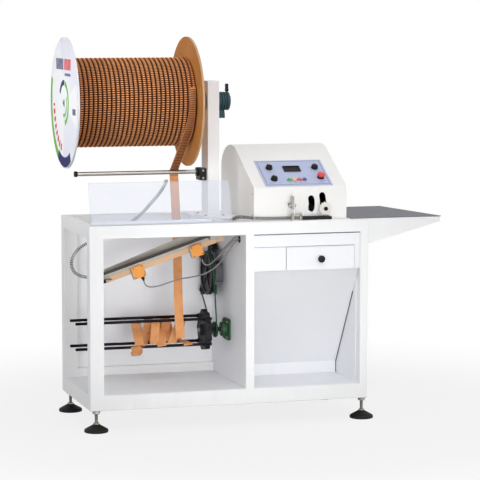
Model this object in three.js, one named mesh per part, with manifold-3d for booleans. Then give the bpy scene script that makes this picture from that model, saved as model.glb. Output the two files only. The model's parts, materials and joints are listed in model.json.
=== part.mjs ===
// Wire cutting machine: a table with a wire spool on a column, a paper take-up reel in the left bay
// and a feeding and cutting head on the right.
// Millimetres, +X to the right, +Y to the back, +Z up. Places are measured from the table's front left
// corner on the floor; the whole model is centred at the end.
import * as THREE from 'three';
import * as BufferGeometryUtils from 'three/addons/utils/BufferGeometryUtils.js';
import Module from 'manifold-3d';

const wasm = await Module();
wasm.setup();

// Driving dimensions

const gap = 0.3;          // seating gap between touching pieces
const runningGap = 0.9;   // radial clearance of a turning shaft in its bearing
const overrun = 6;        // how far every cutter passes its wall
const sheet = 2;          // common sheet thickness

const table = {
  length: 1200, depth: 550, top: 850, bottom: 90,
  legWide: 59, legNarrow: 35, legDepth: 50,
  postLeft: 663, postWide: 37, postDepth: 40,
  topRail: 53, bottomRail: 61, rearRail: 100, sideRail: 35,
};

const bay = {
  backPanelInset: 30, partitionInset: 1.3, sidePanelInset: 2.3,
  coverFront: 14, coverTop: 640, coverSlantEnd: 300, coverSlantBottom: 205, coverRoofBack: 400,
  fasciaInset: 6, drawerBottom: 645, drawerTop: 741, drawerFromShare: 0.3198, drawerToShare: 0.9977,
};
const bayLeft = table.postLeft + table.postWide;
const bayRight = table.length - table.legWide;
bay.drawerLeft = bayLeft + bay.drawerFromShare * (bayRight - bayLeft);
bay.drawerRight = bayLeft + bay.drawerToShare * (bayRight - bayLeft);
const midY = table.depth / 2;                           // the axes of spool, guide roller and reel
const backPanelY = table.depth - bay.backPanelInset;

const drawer = { boxInset: 9, boxDepth: 340, boxDrop: 12, wall: 2, knobRadius: 15, knobLength: 22,
  knobNeck: 7, knobHeightShare: 0.45 };

const topPlate = { left: 530, slotLeft: 598, slotRight: 658, slotFront: 72, slotBack: 170 };

const foot = { padRadius: 50, padHeight: 14, domeHeight: 30, domeRadius: 17, stemRadius: 7, nutRadius: 16,
  nutHeight: 12 };

const spool = {
  aboveTable: 491, shaftRadius: 14, shaftLeft: -44,
  flangeLeft: -42, flangeRight: 490, flangeThick: 9, flangeRadius: 271.5, flangeHole: 17,
  collarRadius: 36, collarLength: 14, keyHole: 7, keyHoleOffset: 58,
};
spool.axisHeight = table.top + spool.aboveTable;

const column = { left: 563, wide: 50, deep: 100, aboveAxis: 86, base: 8, baseMargin: 24, wall: 3 };
column.front = midY - column.deep / 2;
column.top = spool.axisHeight + column.aboveAxis;

const wind = { loops: 20, steps: 24, sides: 6, outerRadius: 186, tubeWide: 22, tubeHigh: 12, coreGap: 0.5 };

const bearing = { radius: 37, flange: 7, hubRadius: 24, hub: 8 };

const brake = { radius: 39, length: 46, finRadius: 33, fins: 3, finThick: 5, capRadius: 26, capLength: 5,
  leverWide: 13, leverThick: 9, leverLength: 34, leverHub: 15, baseWide: 26, baseDrop: 71, baseDepth: 38 };

const guide = { radius: 9, axleRadius: 5, riseShare: 0.3951, left: 12, right: 524, collarRadius: 12,
  collarLength: 13,
  blockLong: 30, blockHigh: 50, blockDeep: 60, blockRim: 19, blockDrop: 10 };
guide.height = table.top + guide.riseShare * spool.aboveTable;

const guard = { left: 17, length: 600, foot: 40, leanDepth: 55, leanHeight: 168, thick: 4, cornerRadius: 18,
  stripThick: 2, stripHeight: 14, stripDepth: 22 };

const trough = {
  left: 70, right: 588, front: 92, wide: 96, floorStart: 622, riseShare: 0.324, thick: 2,
  frontWall: 12, backWall: 44, backWallLow: 16,
  railHigh: 22, railThick: 12, tabWide: 36, tabThick: 3, tabHeight: 40, hangerAlong: 455, plugLong: 16,
    plugHigh: 24,
};

const sensor = { side: 50, thick: 20, rise: 4, lowAlong: 130, highAlong: 392, glandRadius: 7, glandLength: 20,
  bracketThick: 3, faceSize: 8 };

const drive = { planeX: 607, pulleyAhead: 135, pulleyZ: 598, pulleyRadius: 94, pulleyWide: 17,
  reelRadius: 33, reelWide: 12, tensionAhead: 50, tensionZ: 515, tensionRadius: 23, tensionWide: 12,
  beltRadius: 3, beltSides: 6, beltClear: 0.8, grooveDepth: 4, hubRadius: 22, hubWide: 22, webThick: 6,
    rimThick: 12, boreRadius: 8 };

drive.pulleyY = backPanelY - drive.pulleyAhead;
drive.tensionY = backPanelY - drive.tensionAhead;

const gear = { left: 622, ahead: 170, deep: 116, bottom: 560, top: 640, bossRadius: 26, bossLong: 5,
  motorX: 642, motorAhead: 80, motorRadius: 21, motorTop: 790, finStep: 19, finDeep: 4, fins: 4,
  boxWide: 30, boxDeep: 22, boxBottom: 684, boxHigh: 26, glandRadius: 6, glandLength: 38 };
gear.front = backPanelY - gear.ahead;
gear.back = gear.front + gear.deep;
gear.motorY = backPanelY - gear.motorAhead;

const reel = { height: 368, shaftRadius: 9, discLeft: 551, discThick: 20, discRadius: 84, lobeHeight: 4,
  lobes: 9,
  hubRadius: 24, hubLong: 14, rodRadius: 6.25, rodOffset: 54, rodLeft: -12, rodEnd: 6,
  housingSide: 92, housingPlate: 10, housingRadius: 31, housingLong: 22, shaftEndGap: 2 };

const paper = { wide: 38, thick: 1.6, centreX: 430, spoolX: 459, turns: 2, turnStep: 95, turnStart: 462,
  rodClear: 0.8, arcSteps: 3, runSteps: 3, sweepClear: 2, spoolWrap: 0.55, reelWrap: 0.35 };

const strand = { diameter: 14, sides: 8 };
const cable = { diameter: 5.5, sides: 8, exitY: 96, exitZ: 770, grommetRadius: 15, grommetThick: 4 };

const head = {
  left: 713, right: 1120, front: 50, kneeHeight: 988, slopeEndY: 335, slopeEndZ: 1140,
  apexY: 398, apexZ: 1148, backInset: 4, backShoulderZ: 1050, wall: 2.5,
  panelLeft: 766, panelRight: 1061, panelLow: 6, panelHigh: 205, panelThick: 3, windowMargin: 9,
  displayLeft: 881, displayRight: 946, displayLow: 117, displayHigh: 150, displayRim: 5, displayRimWide: 4,
};
head.backY = table.depth - head.backInset;

const dial = { radius: 13.5, skirtRadius: 15, skirt: 4, height: 17, spindle: 4, ridgeWide: 5, ridgeHigh: 4 };
const button = { radius: 8, bezel: 10.5, bezelHigh: 2.5, capHigh: 5, depth: 12 };
const stop = { radius: 17, headHigh: 11, neck: 9, neckHigh: 9, collar: 15, collarHigh: 5, depth: 14,
  travel: 5 };

// Places on the sloping panel: along the machine, then up the slope
const controls = {
  speedKnob: [816, 142], selector: [815, 54], lengthKnob: [1017, 139], emergency: [1023, 63],
  buttonAt: 48, green: 880, amber: 903, red: 925, blue: 947,
};

const feed = {
  pivotX: 868, pivotZ: 915, wheelReach: 148, wheelAngle: -0.122, pinReach: 98, armHigh: 20, armThick: 5,
    armInset: 6,
  axleRadius: 6, wheelRadius: 26, toothHigh: 3.5, teeth: 16, wheelThick: 10, wheelFront: 12, hubRadius: 10,
    hubLong: 6,
  slotWide: 27, slotFrom: -0.2, slotTo: 0.24, slotSteps: 5, slotEndSteps: 4,
  baseLeft: 914, baseRight: 1040, baseFront: 4, baseBack: 44, baseHigh: 13, channelWide: 18, channelDeep: 5,
  leverHub: 15, leverLong: 40, leverWide: 12, leverThick: 7, leverFront: 10,
  postX: 868, postFront: 6, postSide: 12, postHigh: 28, postSmallX: 903, postSmallSide: 11, postSmallHigh: 30,
  linkHigh: 5,
};

const wing = { left: 1124, tipX: 1527, backX: 1436, backY: 510, thick: 3, bracketDrop: 104, tipDrop: 18,
  lip: 2 };

// Geometry helpers

// A closed solid with merged corners and its faces pointing out
function closed(geometry) {
  const bare = new THREE.BufferGeometry();
  bare.setAttribute('position', geometry.getAttribute('position').clone());
  if (geometry.index) bare.setIndex(geometry.index.clone());
  const merged = BufferGeometryUtils.mergeVertices(bare, 1e-4);
  const points = merged.getAttribute('position').array;
  const source = merged.index.array;
  const triangles = [];
  let volume = 0;
  for (let i = 0; i < source.length; i += 3) {
    const [a, b, c] = [source[i], source[i + 1], source[i + 2]];
    if (a === b || b === c || c === a) continue;
    triangles.push(a, b, c);
    const [p, q, r] = [a, b, c].map((k) => new THREE.Vector3().fromArray(points, 3 * k));
    volume += p.dot(q.cross(r));
  }
  if (volume < 0) triangles.reverse();
  merged.setIndex(triangles);
  return merged;
}

function toSolid(geometry) {
  const clean = closed(geometry);
  return new wasm.Manifold(new wasm.Mesh({
    numProp: 3,
    vertProperties: new Float32Array(clean.getAttribute('position').array),
    triVerts: new Uint32Array(clean.index.array),
  }));
}

function fromSolid(solid) {
  const mesh = solid.getMesh();
  const geometry = new THREE.BufferGeometry();
  geometry.setAttribute('position', new THREE.BufferAttribute(new Float32Array(mesh.vertProperties), 3));
  geometry.setIndex(new THREE.BufferAttribute(new Uint32Array(mesh.triVerts), 1));
  return geometry;
}

function join(...geometries) {
  return fromSolid(geometries.map(toSolid).reduce((whole, next) => whole.add(next)));
}

function cut(base, ...cutters) {
  return fromSolid(cutters.map(toSolid).reduce((whole, next) => whole.subtract(next), toSolid(base)));
}

function box(x0, x1, y0, y1, z0, z1) {
  const geometry = new THREE.BoxGeometry(x1 - x0, y1 - y0, z1 - z0);
  return geometry.translate((x0 + x1) / 2, (y0 + y1) / 2, (z0 + z1) / 2);
}

const axisTurn = {
  x: (geometry) => geometry.rotateZ(-Math.PI / 2),
  y: (geometry) => geometry,
  z: (geometry) => geometry.rotateX(Math.PI / 2),
};

// A cylinder that starts at a place and runs along an axis
function rod(axis, radius, length, place, segments = 24) {
  const geometry = new THREE.CylinderGeometry(radius, radius, length, segments);
  geometry.translate(0, length / 2, 0);
  return axisTurn[axis](geometry).translate(...place);
}

// A turned piece: pairs of radius and height, from the start to the end of the axis
function turned(axis, profile, place, segments = 24) {
  const points = profile.map(([radius, height]) => new THREE.Vector2(radius, height));
  return axisTurn[axis](new THREE.LatheGeometry(points, segments)).translate(...place);
}

// An outline in Y and Z, drawn out along X
function alongX(outline, x0, x1) {
  const shape = new THREE.Shape(outline.map(([y, z]) => new THREE.Vector2(y, z)));
  const geometry = new THREE.ExtrudeGeometry(shape, { depth: x1 - x0, bevelEnabled: false,
    curveSegments: 12 });
  geometry.rotateX(Math.PI / 2).rotateZ(Math.PI / 2);
  return geometry.translate(x0, 0, 0);
}

// An outline in X and Z, drawn out along Y
function alongY(outline, y0, y1) {
  const shape = new THREE.Shape(outline.map(([x, z]) => new THREE.Vector2(x, z)));
  const geometry = new THREE.ExtrudeGeometry(shape, { depth: y1 - y0, bevelEnabled: false });
  return geometry.rotateX(Math.PI / 2).translate(0, y1, 0);
}

// An outline in X and Y, drawn out along Z
function alongZ(outline, z0, z1) {
  const shape = new THREE.Shape(outline.map(([x, y]) => new THREE.Vector2(x, y)));
  const geometry = new THREE.ExtrudeGeometry(shape, { depth: z1 - z0, bevelEnabled: false });
  return geometry.translate(0, 0, z0);
}

// A skin through rings of points, each ring with as many points as the first
function sweep(rings, ringCloses = false) {
  const sides = rings[0].length;
  const positions = rings.flat().flatMap((point) => point.toArray());
  const triangles = [];
  const last = ringCloses ? rings.length : rings.length - 1;
  for (let i = 0; i < last; i += 1) {
    const here = i * sides;
    const next = ((i + 1) % rings.length) * sides;
    for (let k = 0; k < sides; k += 1) {
      const k1 = (k + 1) % sides;
      triangles.push(here + k, next + k, next + k1, here + k, next + k1, here + k1);
    }
  }
  if (!ringCloses) {
    const end = (rings.length - 1) * sides;
    for (let k = 1; k < sides - 1; k += 1) {
      triangles.push(0, k, k + 1, end, end + k + 1, end + k);
    }
  }
  const geometry = new THREE.BufferGeometry();
  geometry.setAttribute('position', new THREE.Float32BufferAttribute(positions, 3));
  geometry.setIndex(triangles);
  return closed(geometry);
}

// A round cord along its route
function cord(route, diameter, sides, stepLength) {
  const curve = new THREE.CatmullRomCurve3(route.map((point) => new THREE.Vector3(...point)), false,
    'centripetal');
  const steps = Math.round(curve.getLength() / stepLength);
  const section = new THREE.Shape();
  for (let k = 0; k < sides; k += 1) {
    const turn = (2 * Math.PI * k) / sides;
    const [u, v] = [diameter / 2 * Math.cos(turn), diameter / 2 * Math.sin(turn)];
    if (k === 0) section.moveTo(u, v);
    else section.lineTo(u, v);
  }
  section.closePath();
  return { geometry: new THREE.ExtrudeGeometry(section, { steps, extrudePath: curve }),
    length: curve.getLength() };
}

const model = new THREE.Group();

function piece(name, geometry, finish) {
  const material = new THREE.MeshStandardMaterial({ color: finish.color, roughness: finish.roughness,
    metalness: finish.metalness ?? 0, flatShading: true });
  if (finish.opacity) {
    material.opacity = finish.opacity;
    material.transparent = true;
  }
  const mesh = new THREE.Mesh(closed(geometry), material);
  mesh.name = name;
  model.add(mesh);
  return mesh;
}

const finishes = {
  whitePaint: { color: 0xf2f2f0, roughness: 0.45 },
  steel: { color: 0xb8bac0, roughness: 0.3, metalness: 1 },
  chrome: { color: 0xd8dade, roughness: 0.12, metalness: 1 },
  blackPlastic: { color: 0x17171a, roughness: 0.5 },
  blackSteel: { color: 0x1d1e20, roughness: 0.4, metalness: 0.6 },
  greenPaint: { color: 0x1f5a2c, roughness: 0.5 },
  tealPaint: { color: 0x1c4b50, roughness: 0.45 },
  board: { color: 0x9b6231, roughness: 0.75 },
  printedBoard: { color: 0xe9eaee, roughness: 0.5 },
  wirePaper: { color: 0x8c5a3c, roughness: 0.6 },
  paper: { color: 0xe09a58, roughness: 0.8 },
  acrylic: { color: 0xe8eef4, roughness: 0.08, opacity: 0.25 },
  greyPlastic: { color: 0xa9a7a2, roughness: 0.4 },
  brownLaminate: { color: 0xb97a4c, roughness: 0.55 },
  orange: { color: 0xf29a2e, roughness: 0.45 },
  greyCable: { color: 0x8c8a88, roughness: 0.5 },
  beltGreen: { color: 0x1e6b3a, roughness: 0.55 },
  panelBlue: { color: 0x9aa6cf, roughness: 0.4 },
  wingGrey: { color: 0x84828a, roughness: 0.5 },
  nylon: { color: 0xe6e4dc, roughness: 0.5 },
  green: { color: 0x1f9a48, roughness: 0.35 },
  amber: { color: 0xf2a53a, roughness: 0.35 },
  red: { color: 0xd2291f, roughness: 0.35 },
  blue: { color: 0x2344a8, roughness: 0.35 },
};

// Table frame

function frontFrame() {
  const { length, legWide, legNarrow, legDepth, bottom, top, topRail, bottomRail, postLeft, postWide,
    postDepth } = table;
  return join(
    box(0, legWide, 0, legDepth, bottom, top),
    box(length - legNarrow, length, 0, legDepth, bottom, top),
    box(0, length, 0, legDepth, top - topRail, top),
    box(0, length, 0, legDepth, bottom, bottom + bottomRail),
    box(postLeft, postLeft + postWide, 0, postDepth, bottom, top),
  );
}

const innerFront = table.legDepth + gap;
const innerBack = table.depth - table.legDepth - gap;
const beamFront = topPlate.slotBack + table.sideRail;
const partitionLeft = table.postLeft + bay.partitionInset;

// The rear legs and rails with the side rails and the beams below the column welded to them
function rearFrame() {
  const { length, legWide, legNarrow, legDepth, bottom, top, topRail, bottomRail, rearRail, depth,
    sideRail } = table;
  const { postWide, postLeft } = table;
  const front = depth - legDepth;
  const back = front + sideRail / 2;
  const railBottom = top - topRail;
  const bottomRailTop = bottom + bottomRail;
  return join(
    box(0, legWide, front, depth, bottom, top),
    box(length - legWide, length, front, depth, bottom, top),
    box(0, length, front, depth, railBottom, top),
    box(0, length, front, depth, bottom, bottom + rearRail),
    box(0, sideRail, innerFront, back, railBottom, top),
    box(0, sideRail, innerFront, back, bottom, bottomRailTop),
    box(length - legNarrow, length, innerFront, back, railBottom, top),
    box(length - legNarrow, length, innerFront, back, bottom, bottomRailTop),
    box(postLeft, postLeft + postWide, innerFront, back, bottom, bottomRailTop),
    box(postLeft, postLeft + postWide, innerFront, back, railBottom, top),
    box(column.left - sheet, column.left + column.wide + sheet, beamFront, back, railBottom, top),
    box(column.left - sheet, postLeft + postWide, beamFront, beamFront + sideRail, railBottom, top),
  );
}

function levellingFoot(x, y) {
  const nutTop = table.bottom - gap;
  const nutBottom = nutTop - foot.nutHeight;
  return turned('z', [
    [0, 0], [foot.padRadius, 0], [foot.padRadius, foot.padHeight / 2],
    [foot.padRadius - foot.padHeight / 2, foot.padHeight], [foot.domeRadius, foot.domeHeight],
    [foot.stemRadius, foot.domeHeight], [foot.stemRadius, nutBottom], [foot.nutRadius, nutBottom],
    [foot.nutRadius, nutTop], [0, nutTop],
  ], [x, y, 0], 12);
}

piece('front_frame', frontFrame(), finishes.whitePaint);
piece('rear_frame', rearFrame(), finishes.whitePaint);
const footFront = table.legDepth / 2;
const footBack = table.depth - table.legDepth / 2;
piece('foot_front_left', levellingFoot(table.legWide / 2, footFront), finishes.blackPlastic);
piece('foot_front_right', levellingFoot(table.length - table.legNarrow / 2, footFront),
  finishes.blackPlastic);
piece('foot_rear_left', levellingFoot(table.legWide / 2, footBack), finishes.blackPlastic);
piece('foot_rear_right', levellingFoot(table.length - table.legWide / 2, footBack), finishes.blackPlastic);

// Sheet metal covers

const shelfBottom = table.bottom + table.bottomRail + gap;
const shelfTop = shelfBottom + sheet;
const coverBottom = shelfTop + gap;
const underRail = table.top - table.topRail - gap;

function bottomShelf() {
  const rightInner = table.length - table.legNarrow - gap;
  const postRight = table.postLeft + table.postWide + gap;
  const front = table.legDepth + gap;
  return alongZ([
    [table.legWide + gap, sheet], [table.postLeft - gap, sheet],
      [table.postLeft - gap, table.postDepth + gap],
    [postRight, table.postDepth + gap], [postRight, sheet], [rightInner, sheet], [rightInner, front],
    [table.length - gap, front], [table.length - gap, innerBack], [gap, innerBack], [gap, front],
    [table.legWide + gap, front],
  ], shelfBottom, shelfTop);
}

function electricalCover() {
  const left = table.postLeft + table.postWide + gap;
  const right = table.length - table.legNarrow - bay.sidePanelInset - gap;
  const { coverFront, coverTop, coverSlantEnd, coverSlantBottom, coverRoofBack } = bay;
  const runner = drawer.boxInset - gap - sheet;
  const roofTop = coverTop + sheet;
  const outline = [
    [coverFront, coverTop], [coverSlantEnd, coverSlantBottom], [coverSlantEnd, coverBottom],
    [coverSlantEnd + sheet, coverBottom], [coverSlantEnd + sheet, coverSlantBottom + sheet],
    [coverFront + 2 * sheet, coverTop], [coverRoofBack, coverTop], [coverRoofBack, roofTop],
      [coverFront, roofTop],
  ];
  const runnerAt = (x) => box(x, x + runner, coverFront, coverRoofBack, coverTop + sheet / 2,
    coverTop + drawer.boxDrop);
  return join(
    alongX(outline, left, right),
    runnerAt(bay.drawerLeft + sheet),
    runnerAt(bay.drawerRight - sheet - runner),
  );
}

function frontPanel() {
  const left = table.postLeft + table.postWide + gap;
  const right = table.length - table.legNarrow - gap;
  const y0 = bay.fasciaInset;
  return cut(
    box(left, right, y0, y0 + sheet, bay.drawerBottom - sheet, underRail),
    box(bay.drawerLeft - 3 * gap, bay.drawerRight + 3 * gap, y0 - overrun, y0 + sheet + overrun,
      bay.drawerBottom - sheet - overrun, bay.drawerTop + 3 * gap),
  );
}

function partitionPanel() {
  const x0 = partitionLeft;
  const x1 = partitionLeft + sheet;
  const grommet = rod('x', cable.grommetRadius, cable.grommetThick,
    [x0 - cable.grommetThick + sheet, cable.exitY, cable.exitZ], 12);
  const front = table.postDepth + gap;
  const back = backPanelY - gap;
  const stepUp = table.bottom + table.rearRail + gap;
  const panel = alongX([
    [front, coverBottom], [innerBack, coverBottom], [innerBack, stepUp], [back, stepUp], [back, underRail],
    [front, underRail],
  ], x0, x1);
  return join(panel, grommet);
}

piece('back_panel', box(table.legWide + gap, table.length - table.legWide - gap, backPanelY,
  backPanelY + sheet,
  table.bottom + table.rearRail + gap, underRail), finishes.whitePaint);
piece('bottom_shelf', bottomShelf(), finishes.whitePaint);
piece('partition_panel', partitionPanel(), finishes.whitePaint);
piece('side_panel_right', box(table.length - table.legNarrow - bay.sidePanelInset,
  table.length - table.legNarrow - gap,
  innerFront, innerBack, coverBottom, underRail), finishes.whitePaint);
piece('electrical_cover', electricalCover(), finishes.whitePaint);
piece('front_panel', frontPanel(), finishes.whitePaint);

const plateBottom = table.top + gap;
const plateTop = plateBottom + sheet;

piece('table_top', cut(
  box(topPlate.left, table.length - gap, gap, table.depth - gap, plateBottom, plateTop),
  box(topPlate.left - overrun, guard.left + guard.length + sheet, -overrun, table.legDepth,
    plateBottom - overrun,
    plateTop + overrun),
  box(topPlate.slotLeft, topPlate.slotRight, topPlate.slotFront, topPlate.slotBack, plateBottom - overrun,
    plateTop + overrun),
), finishes.whitePaint);

// Drawer

function drawerBody() {
  const front = bay.fasciaInset;
  const boxLeft = bay.drawerLeft + drawer.boxInset;
  const boxRight = bay.drawerRight - drawer.boxInset;
  const boxBottom = bay.coverTop + sheet + gap;
  const boxTop = bay.drawerTop - drawer.boxDrop;
  const boxBack = front + drawer.boxDepth;
  const { wall } = drawer;
  const tray = cut(
    box(boxLeft, boxRight, front, boxBack, boxBottom, boxTop),
    box(boxLeft + wall, boxRight - wall, front + sheet, boxBack - wall, boxBottom + wall, boxTop + overrun),
  );
  const knobCentre = [(bay.drawerLeft + bay.drawerRight) / 2, front,
    bay.drawerBottom + drawer.knobHeightShare * (bay.drawerTop - bay.drawerBottom)];
  const knob = turned('y', [
    [0, -drawer.knobLength], [drawer.knobRadius - sheet, -drawer.knobLength],
    [drawer.knobRadius, -drawer.knobLength + sheet], [drawer.knobRadius, -drawer.knobNeck - sheet],
    [drawer.knobNeck, -drawer.knobNeck], [drawer.knobNeck, sheet / 2], [0, sheet / 2],
  ], knobCentre, 14);
  return join(box(bay.drawerLeft, bay.drawerRight, front, front + sheet, bay.drawerBottom, bay.drawerTop),
    tray, knob);
}

piece('drawer', drawerBody(), finishes.whitePaint);

// Spool stand

const baseTop = plateTop + gap + column.base;

function columnBody() {
  const { left, wide, front, deep, top, baseMargin, wall } = column;
  const tube = cut(
    box(left, left + wide, front, front + deep, plateTop + gap, top),
    box(left + wall, left + wide - wall, front + wall, front + deep - wall, plateTop - overrun, top - wall),
    rod('x', spool.shaftRadius + sheet, wide + 2 * overrun, [left - overrun, midY, spool.axisHeight], 12),
  );
  const base = cut(
    box(left - baseMargin, left + wide + baseMargin, front - baseMargin, front + deep + baseMargin,
      plateTop + gap, baseTop),
    box(left + wall, left + wide - wall, front + wall, front + deep - wall, plateTop - overrun,
      baseTop + overrun),
  );
  return join(tube, base, shaftBearing(-1), shaftBearing(1));
}

// A flanged bearing on one face of the column; side is -1 for the left face and 1 for the right
function shaftBearing(side) {
  const { radius, flange, hubRadius, hub } = bearing;
  const bore = spool.shaftRadius + runningGap;
  const sunk = column.wall / 2;
  const face = side > 0 ? column.left + column.wide : column.left;
  const profile = [[bore, -sunk], [radius, -sunk], [radius, flange], [hubRadius, flange],
    [hubRadius, flange + hub],
    [bore, flange + hub], [bore, -sunk]];
  return turned('x', profile.map(([r, h]) => [r, side * h]), [face, midY, spool.axisHeight], 12);
}

const brakeLeft = column.left + column.wide + gap + bearing.flange + gap;

function brakeBody() {
  const { radius, length, finRadius, fins, finThick, capRadius, capLength, baseWide, baseDrop,
    baseDepth } = brake;
  const clear = bearing.hubRadius + sheet;
  const bore = spool.shaftRadius + runningGap;
  const profile = [[clear, 0], [radius, 0]];
  const finSpan = length / (fins + 1);
  for (let k = 1; k <= fins; k += 1) {
    const at = k * finSpan;
    profile.push([radius, at - finThick], [finRadius, at - finThick], [finRadius, at], [radius, at]);
  }
  profile.push([radius, length], [capRadius, length + capLength], [0, length + capLength], [0, length],
    [bore, length], [bore, bearing.hub + gap], [clear, bearing.hub + gap], [clear, 0]);
  const body = turned('x', profile, [brakeLeft, midY, spool.axisHeight], 14);
  const foot = box(brakeLeft, brakeLeft + baseWide, midY - baseDepth / 2, midY + baseDepth / 2,
    spool.axisHeight - baseDrop, spool.axisHeight - radius + finThick);
  return join(body, foot);
}

const leverPlace = [brakeLeft + brake.length - brake.leverWide, midY, spool.axisHeight + brake.radius + gap];

function brakeLever() {
  const { leverWide, leverThick, leverLength, leverHub } = brake;
  const [x, y, z] = leverPlace;
  const hub = rod('x', leverHub / 2, leverWide, [x, y, z + leverHub / 2], 12);
  const arm = alongX([
    [y - leverThick / 2, z + leverHub / 2], [y + leverThick / 2, z + leverHub / 2],
    [y + leverThick, z + leverLength - leverThick], [y + leverThick / 2, z + leverLength],
    [y - leverThick / 2, z + leverLength - leverThick / 2],
  ], x, x + leverWide);
  return join(hub, arm);
}

piece('column', columnBody(), finishes.whitePaint);
piece('brake_body', brakeBody(), finishes.tealPaint);
piece('brake_lever', brakeLever(), finishes.blackPlastic);

// Spool with its outer layer of wire

function spoolShaft() {
  const { shaftRadius, shaftLeft, flangeRight, collarRadius, collarLength, axisHeight } = spool;
  const end = brakeLeft + brake.length - gap;
  return turned('x', [
    [0, shaftLeft], [shaftRadius - sheet, shaftLeft], [shaftRadius, shaftLeft + sheet],
    [shaftRadius, flangeRight + gap], [collarRadius, flangeRight + gap],
    [collarRadius, flangeRight + gap + collarLength], [shaftRadius, flangeRight + gap + collarLength],
    [shaftRadius, end], [0, end],
  ], [0, midY, axisHeight], 18);
}

function flange(x0) {
  const { flangeThick, flangeRadius, flangeHole, keyHole, keyHoleOffset, axisHeight } = spool;
  const disc = rod('x', flangeRadius, flangeThick, [x0, midY, axisHeight], 48);
  const hole = rod('x', flangeHole, flangeThick + 2 * overrun, [x0 - overrun, midY, axisHeight], 16);
  const keyway = rod('x', keyHole, flangeThick + 2 * overrun,
    [x0 - overrun, midY, axisHeight - keyHoleOffset], 10);
  return cut(disc, hole, keyway);
}

const windCentre = wind.outerRadius - wind.tubeHigh / 2;
const coreLeft = spool.flangeLeft + spool.flangeThick + gap;
const coreRight = spool.flangeRight - spool.flangeThick - gap;

function spoolCore() {
  const outer = (wind.outerRadius - wind.tubeHigh) * Math.cos(Math.PI / wind.steps) - wind.coreGap;
  const bore = spool.shaftRadius + gap;
  return turned('x', [[bore, coreLeft], [outer, coreLeft], [outer, coreRight], [bore, coreRight],
    [bore, coreLeft]],
    [0, midY, spool.axisHeight], 36);
}

// One unbroken helical tube; its two ends run straight for one tube diameter
function windingRings() {
  const { loops, steps, sides, tubeWide, tubeHigh } = wind;
  const first = coreLeft + tubeWide / 2 + gap;
  const pitch = (coreRight - gap - tubeWide - first + tubeWide / 2) / loops;
  const ringAt = (x, angle, run) => {
    const outward = new THREE.Vector3(0, -Math.cos(angle), Math.sin(angle));
    const onward = new THREE.Vector3(0, Math.sin(angle), Math.cos(angle));
    const centre = new THREE.Vector3(x, midY, spool.axisHeight)
      .addScaledVector(outward, windCentre).addScaledVector(onward, run);
    return Array.from({ length: sides }, (_, k) => {
      const turn = (2 * Math.PI * k) / sides;
      return centre.clone().add(new THREE.Vector3(tubeWide / 2 * Math.cos(turn), 0, 0))
        .addScaledVector(outward, tubeHigh / 2 * Math.sin(turn));
    });
  };
  const rings = [ringAt(first, 0, -tubeWide)];
  for (let i = 0; i <= loops * steps; i += 1) {
    rings.push(ringAt(first + pitch * i / steps, (2 * Math.PI * i) / steps, 0));
  }
  rings.push(ringAt(first + pitch * loops, 2 * Math.PI * loops, tubeWide));
  return rings;
}

// Least distance between the points of rings that lie at least half a loop apart
function leastSelfGap(rings, apart) {
  let least = Infinity;
  for (let i = 0; i < rings.length; i += 1) {
    for (let j = i + apart; j < Math.min(rings.length, i + 3 * apart); j += 1) {
      for (const p of rings[i]) {
        for (const q of rings[j]) least = Math.min(least, p.distanceTo(q));
      }
    }
  }
  return least;
}

const winding = windingRings();
const windingGap = leastSelfGap(winding, wind.steps / 2);
console.log(`wire winding: ${wind.loops} loops, least gap to itself ${windingGap.toFixed(2)} mm`);

piece('spool_shaft', spoolShaft(), finishes.steel);
piece('spool_core', spoolCore(), finishes.board);
piece('flange_left', flange(spool.flangeLeft), finishes.printedBoard);
piece('flange_right', flange(spool.flangeRight - spool.flangeThick), finishes.board);
piece('wire_winding', sweep(winding), finishes.wirePaper);

// Guide roller on its fixed axle

function guideClamp() {
  const { axleRadius, height, left, right, collarRadius, collarLength, blockLong, blockHigh, blockDeep,
    blockRim, blockDrop } = guide;
  const blockRight = column.left - gap;
  const y = midY;
  const block = box(blockRight - blockLong, blockRight, y - blockDeep / 2, y + blockDeep / 2,
    height - blockHigh / 2 - blockDrop, height + blockHigh / 2 - blockDrop);
  const rim = rod('x', blockRim, blockRight - blockLong / 2 - right - gap, [right + gap, y, height], 16);
  const axle = rod('x', axleRadius, blockRight - left + collarLength - blockLong / 2,
    [left - collarLength, y, height], 12);
  const collar = rod('x', collarRadius, collarLength - gap, [left - collarLength, y, height], 12);
  return join(block, rim, axle, collar);
}

function guideRoller() {
  const { radius, axleRadius, height, left, right } = guide;
  const bore = axleRadius + gap;
  const profile = [[bore, left], [radius, left], [radius, right], [bore, right], [bore, left]];
  return turned('x', profile, [0, midY, height], 16);
}

piece('guide_clamp', guideClamp(), finishes.blackSteel);
piece('guide_roller', guideRoller(), finishes.chrome);

// Clear front guard that leans back

function guardPane() {
  const lean = Math.atan2(guard.leanDepth, guard.leanHeight);
  const high = Math.hypot(guard.leanDepth, guard.leanHeight);
  const r = guard.cornerRadius;
  const shape = new THREE.Shape();
  shape.moveTo(0, 0);
  shape.lineTo(guard.length, 0);
  shape.lineTo(guard.length, high - r);
  shape.absarc(guard.length - r, high - r, r, 0, Math.PI / 2, false);
  shape.lineTo(0, high);
  const pane = new THREE.ExtrudeGeometry(shape, { depth: guard.thick, bevelEnabled: false,
    curveSegments: 5 });
  pane.rotateX(Math.PI / 2 - lean);
  return pane.translate(guard.left, guard.foot, table.top + gap);
}

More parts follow.
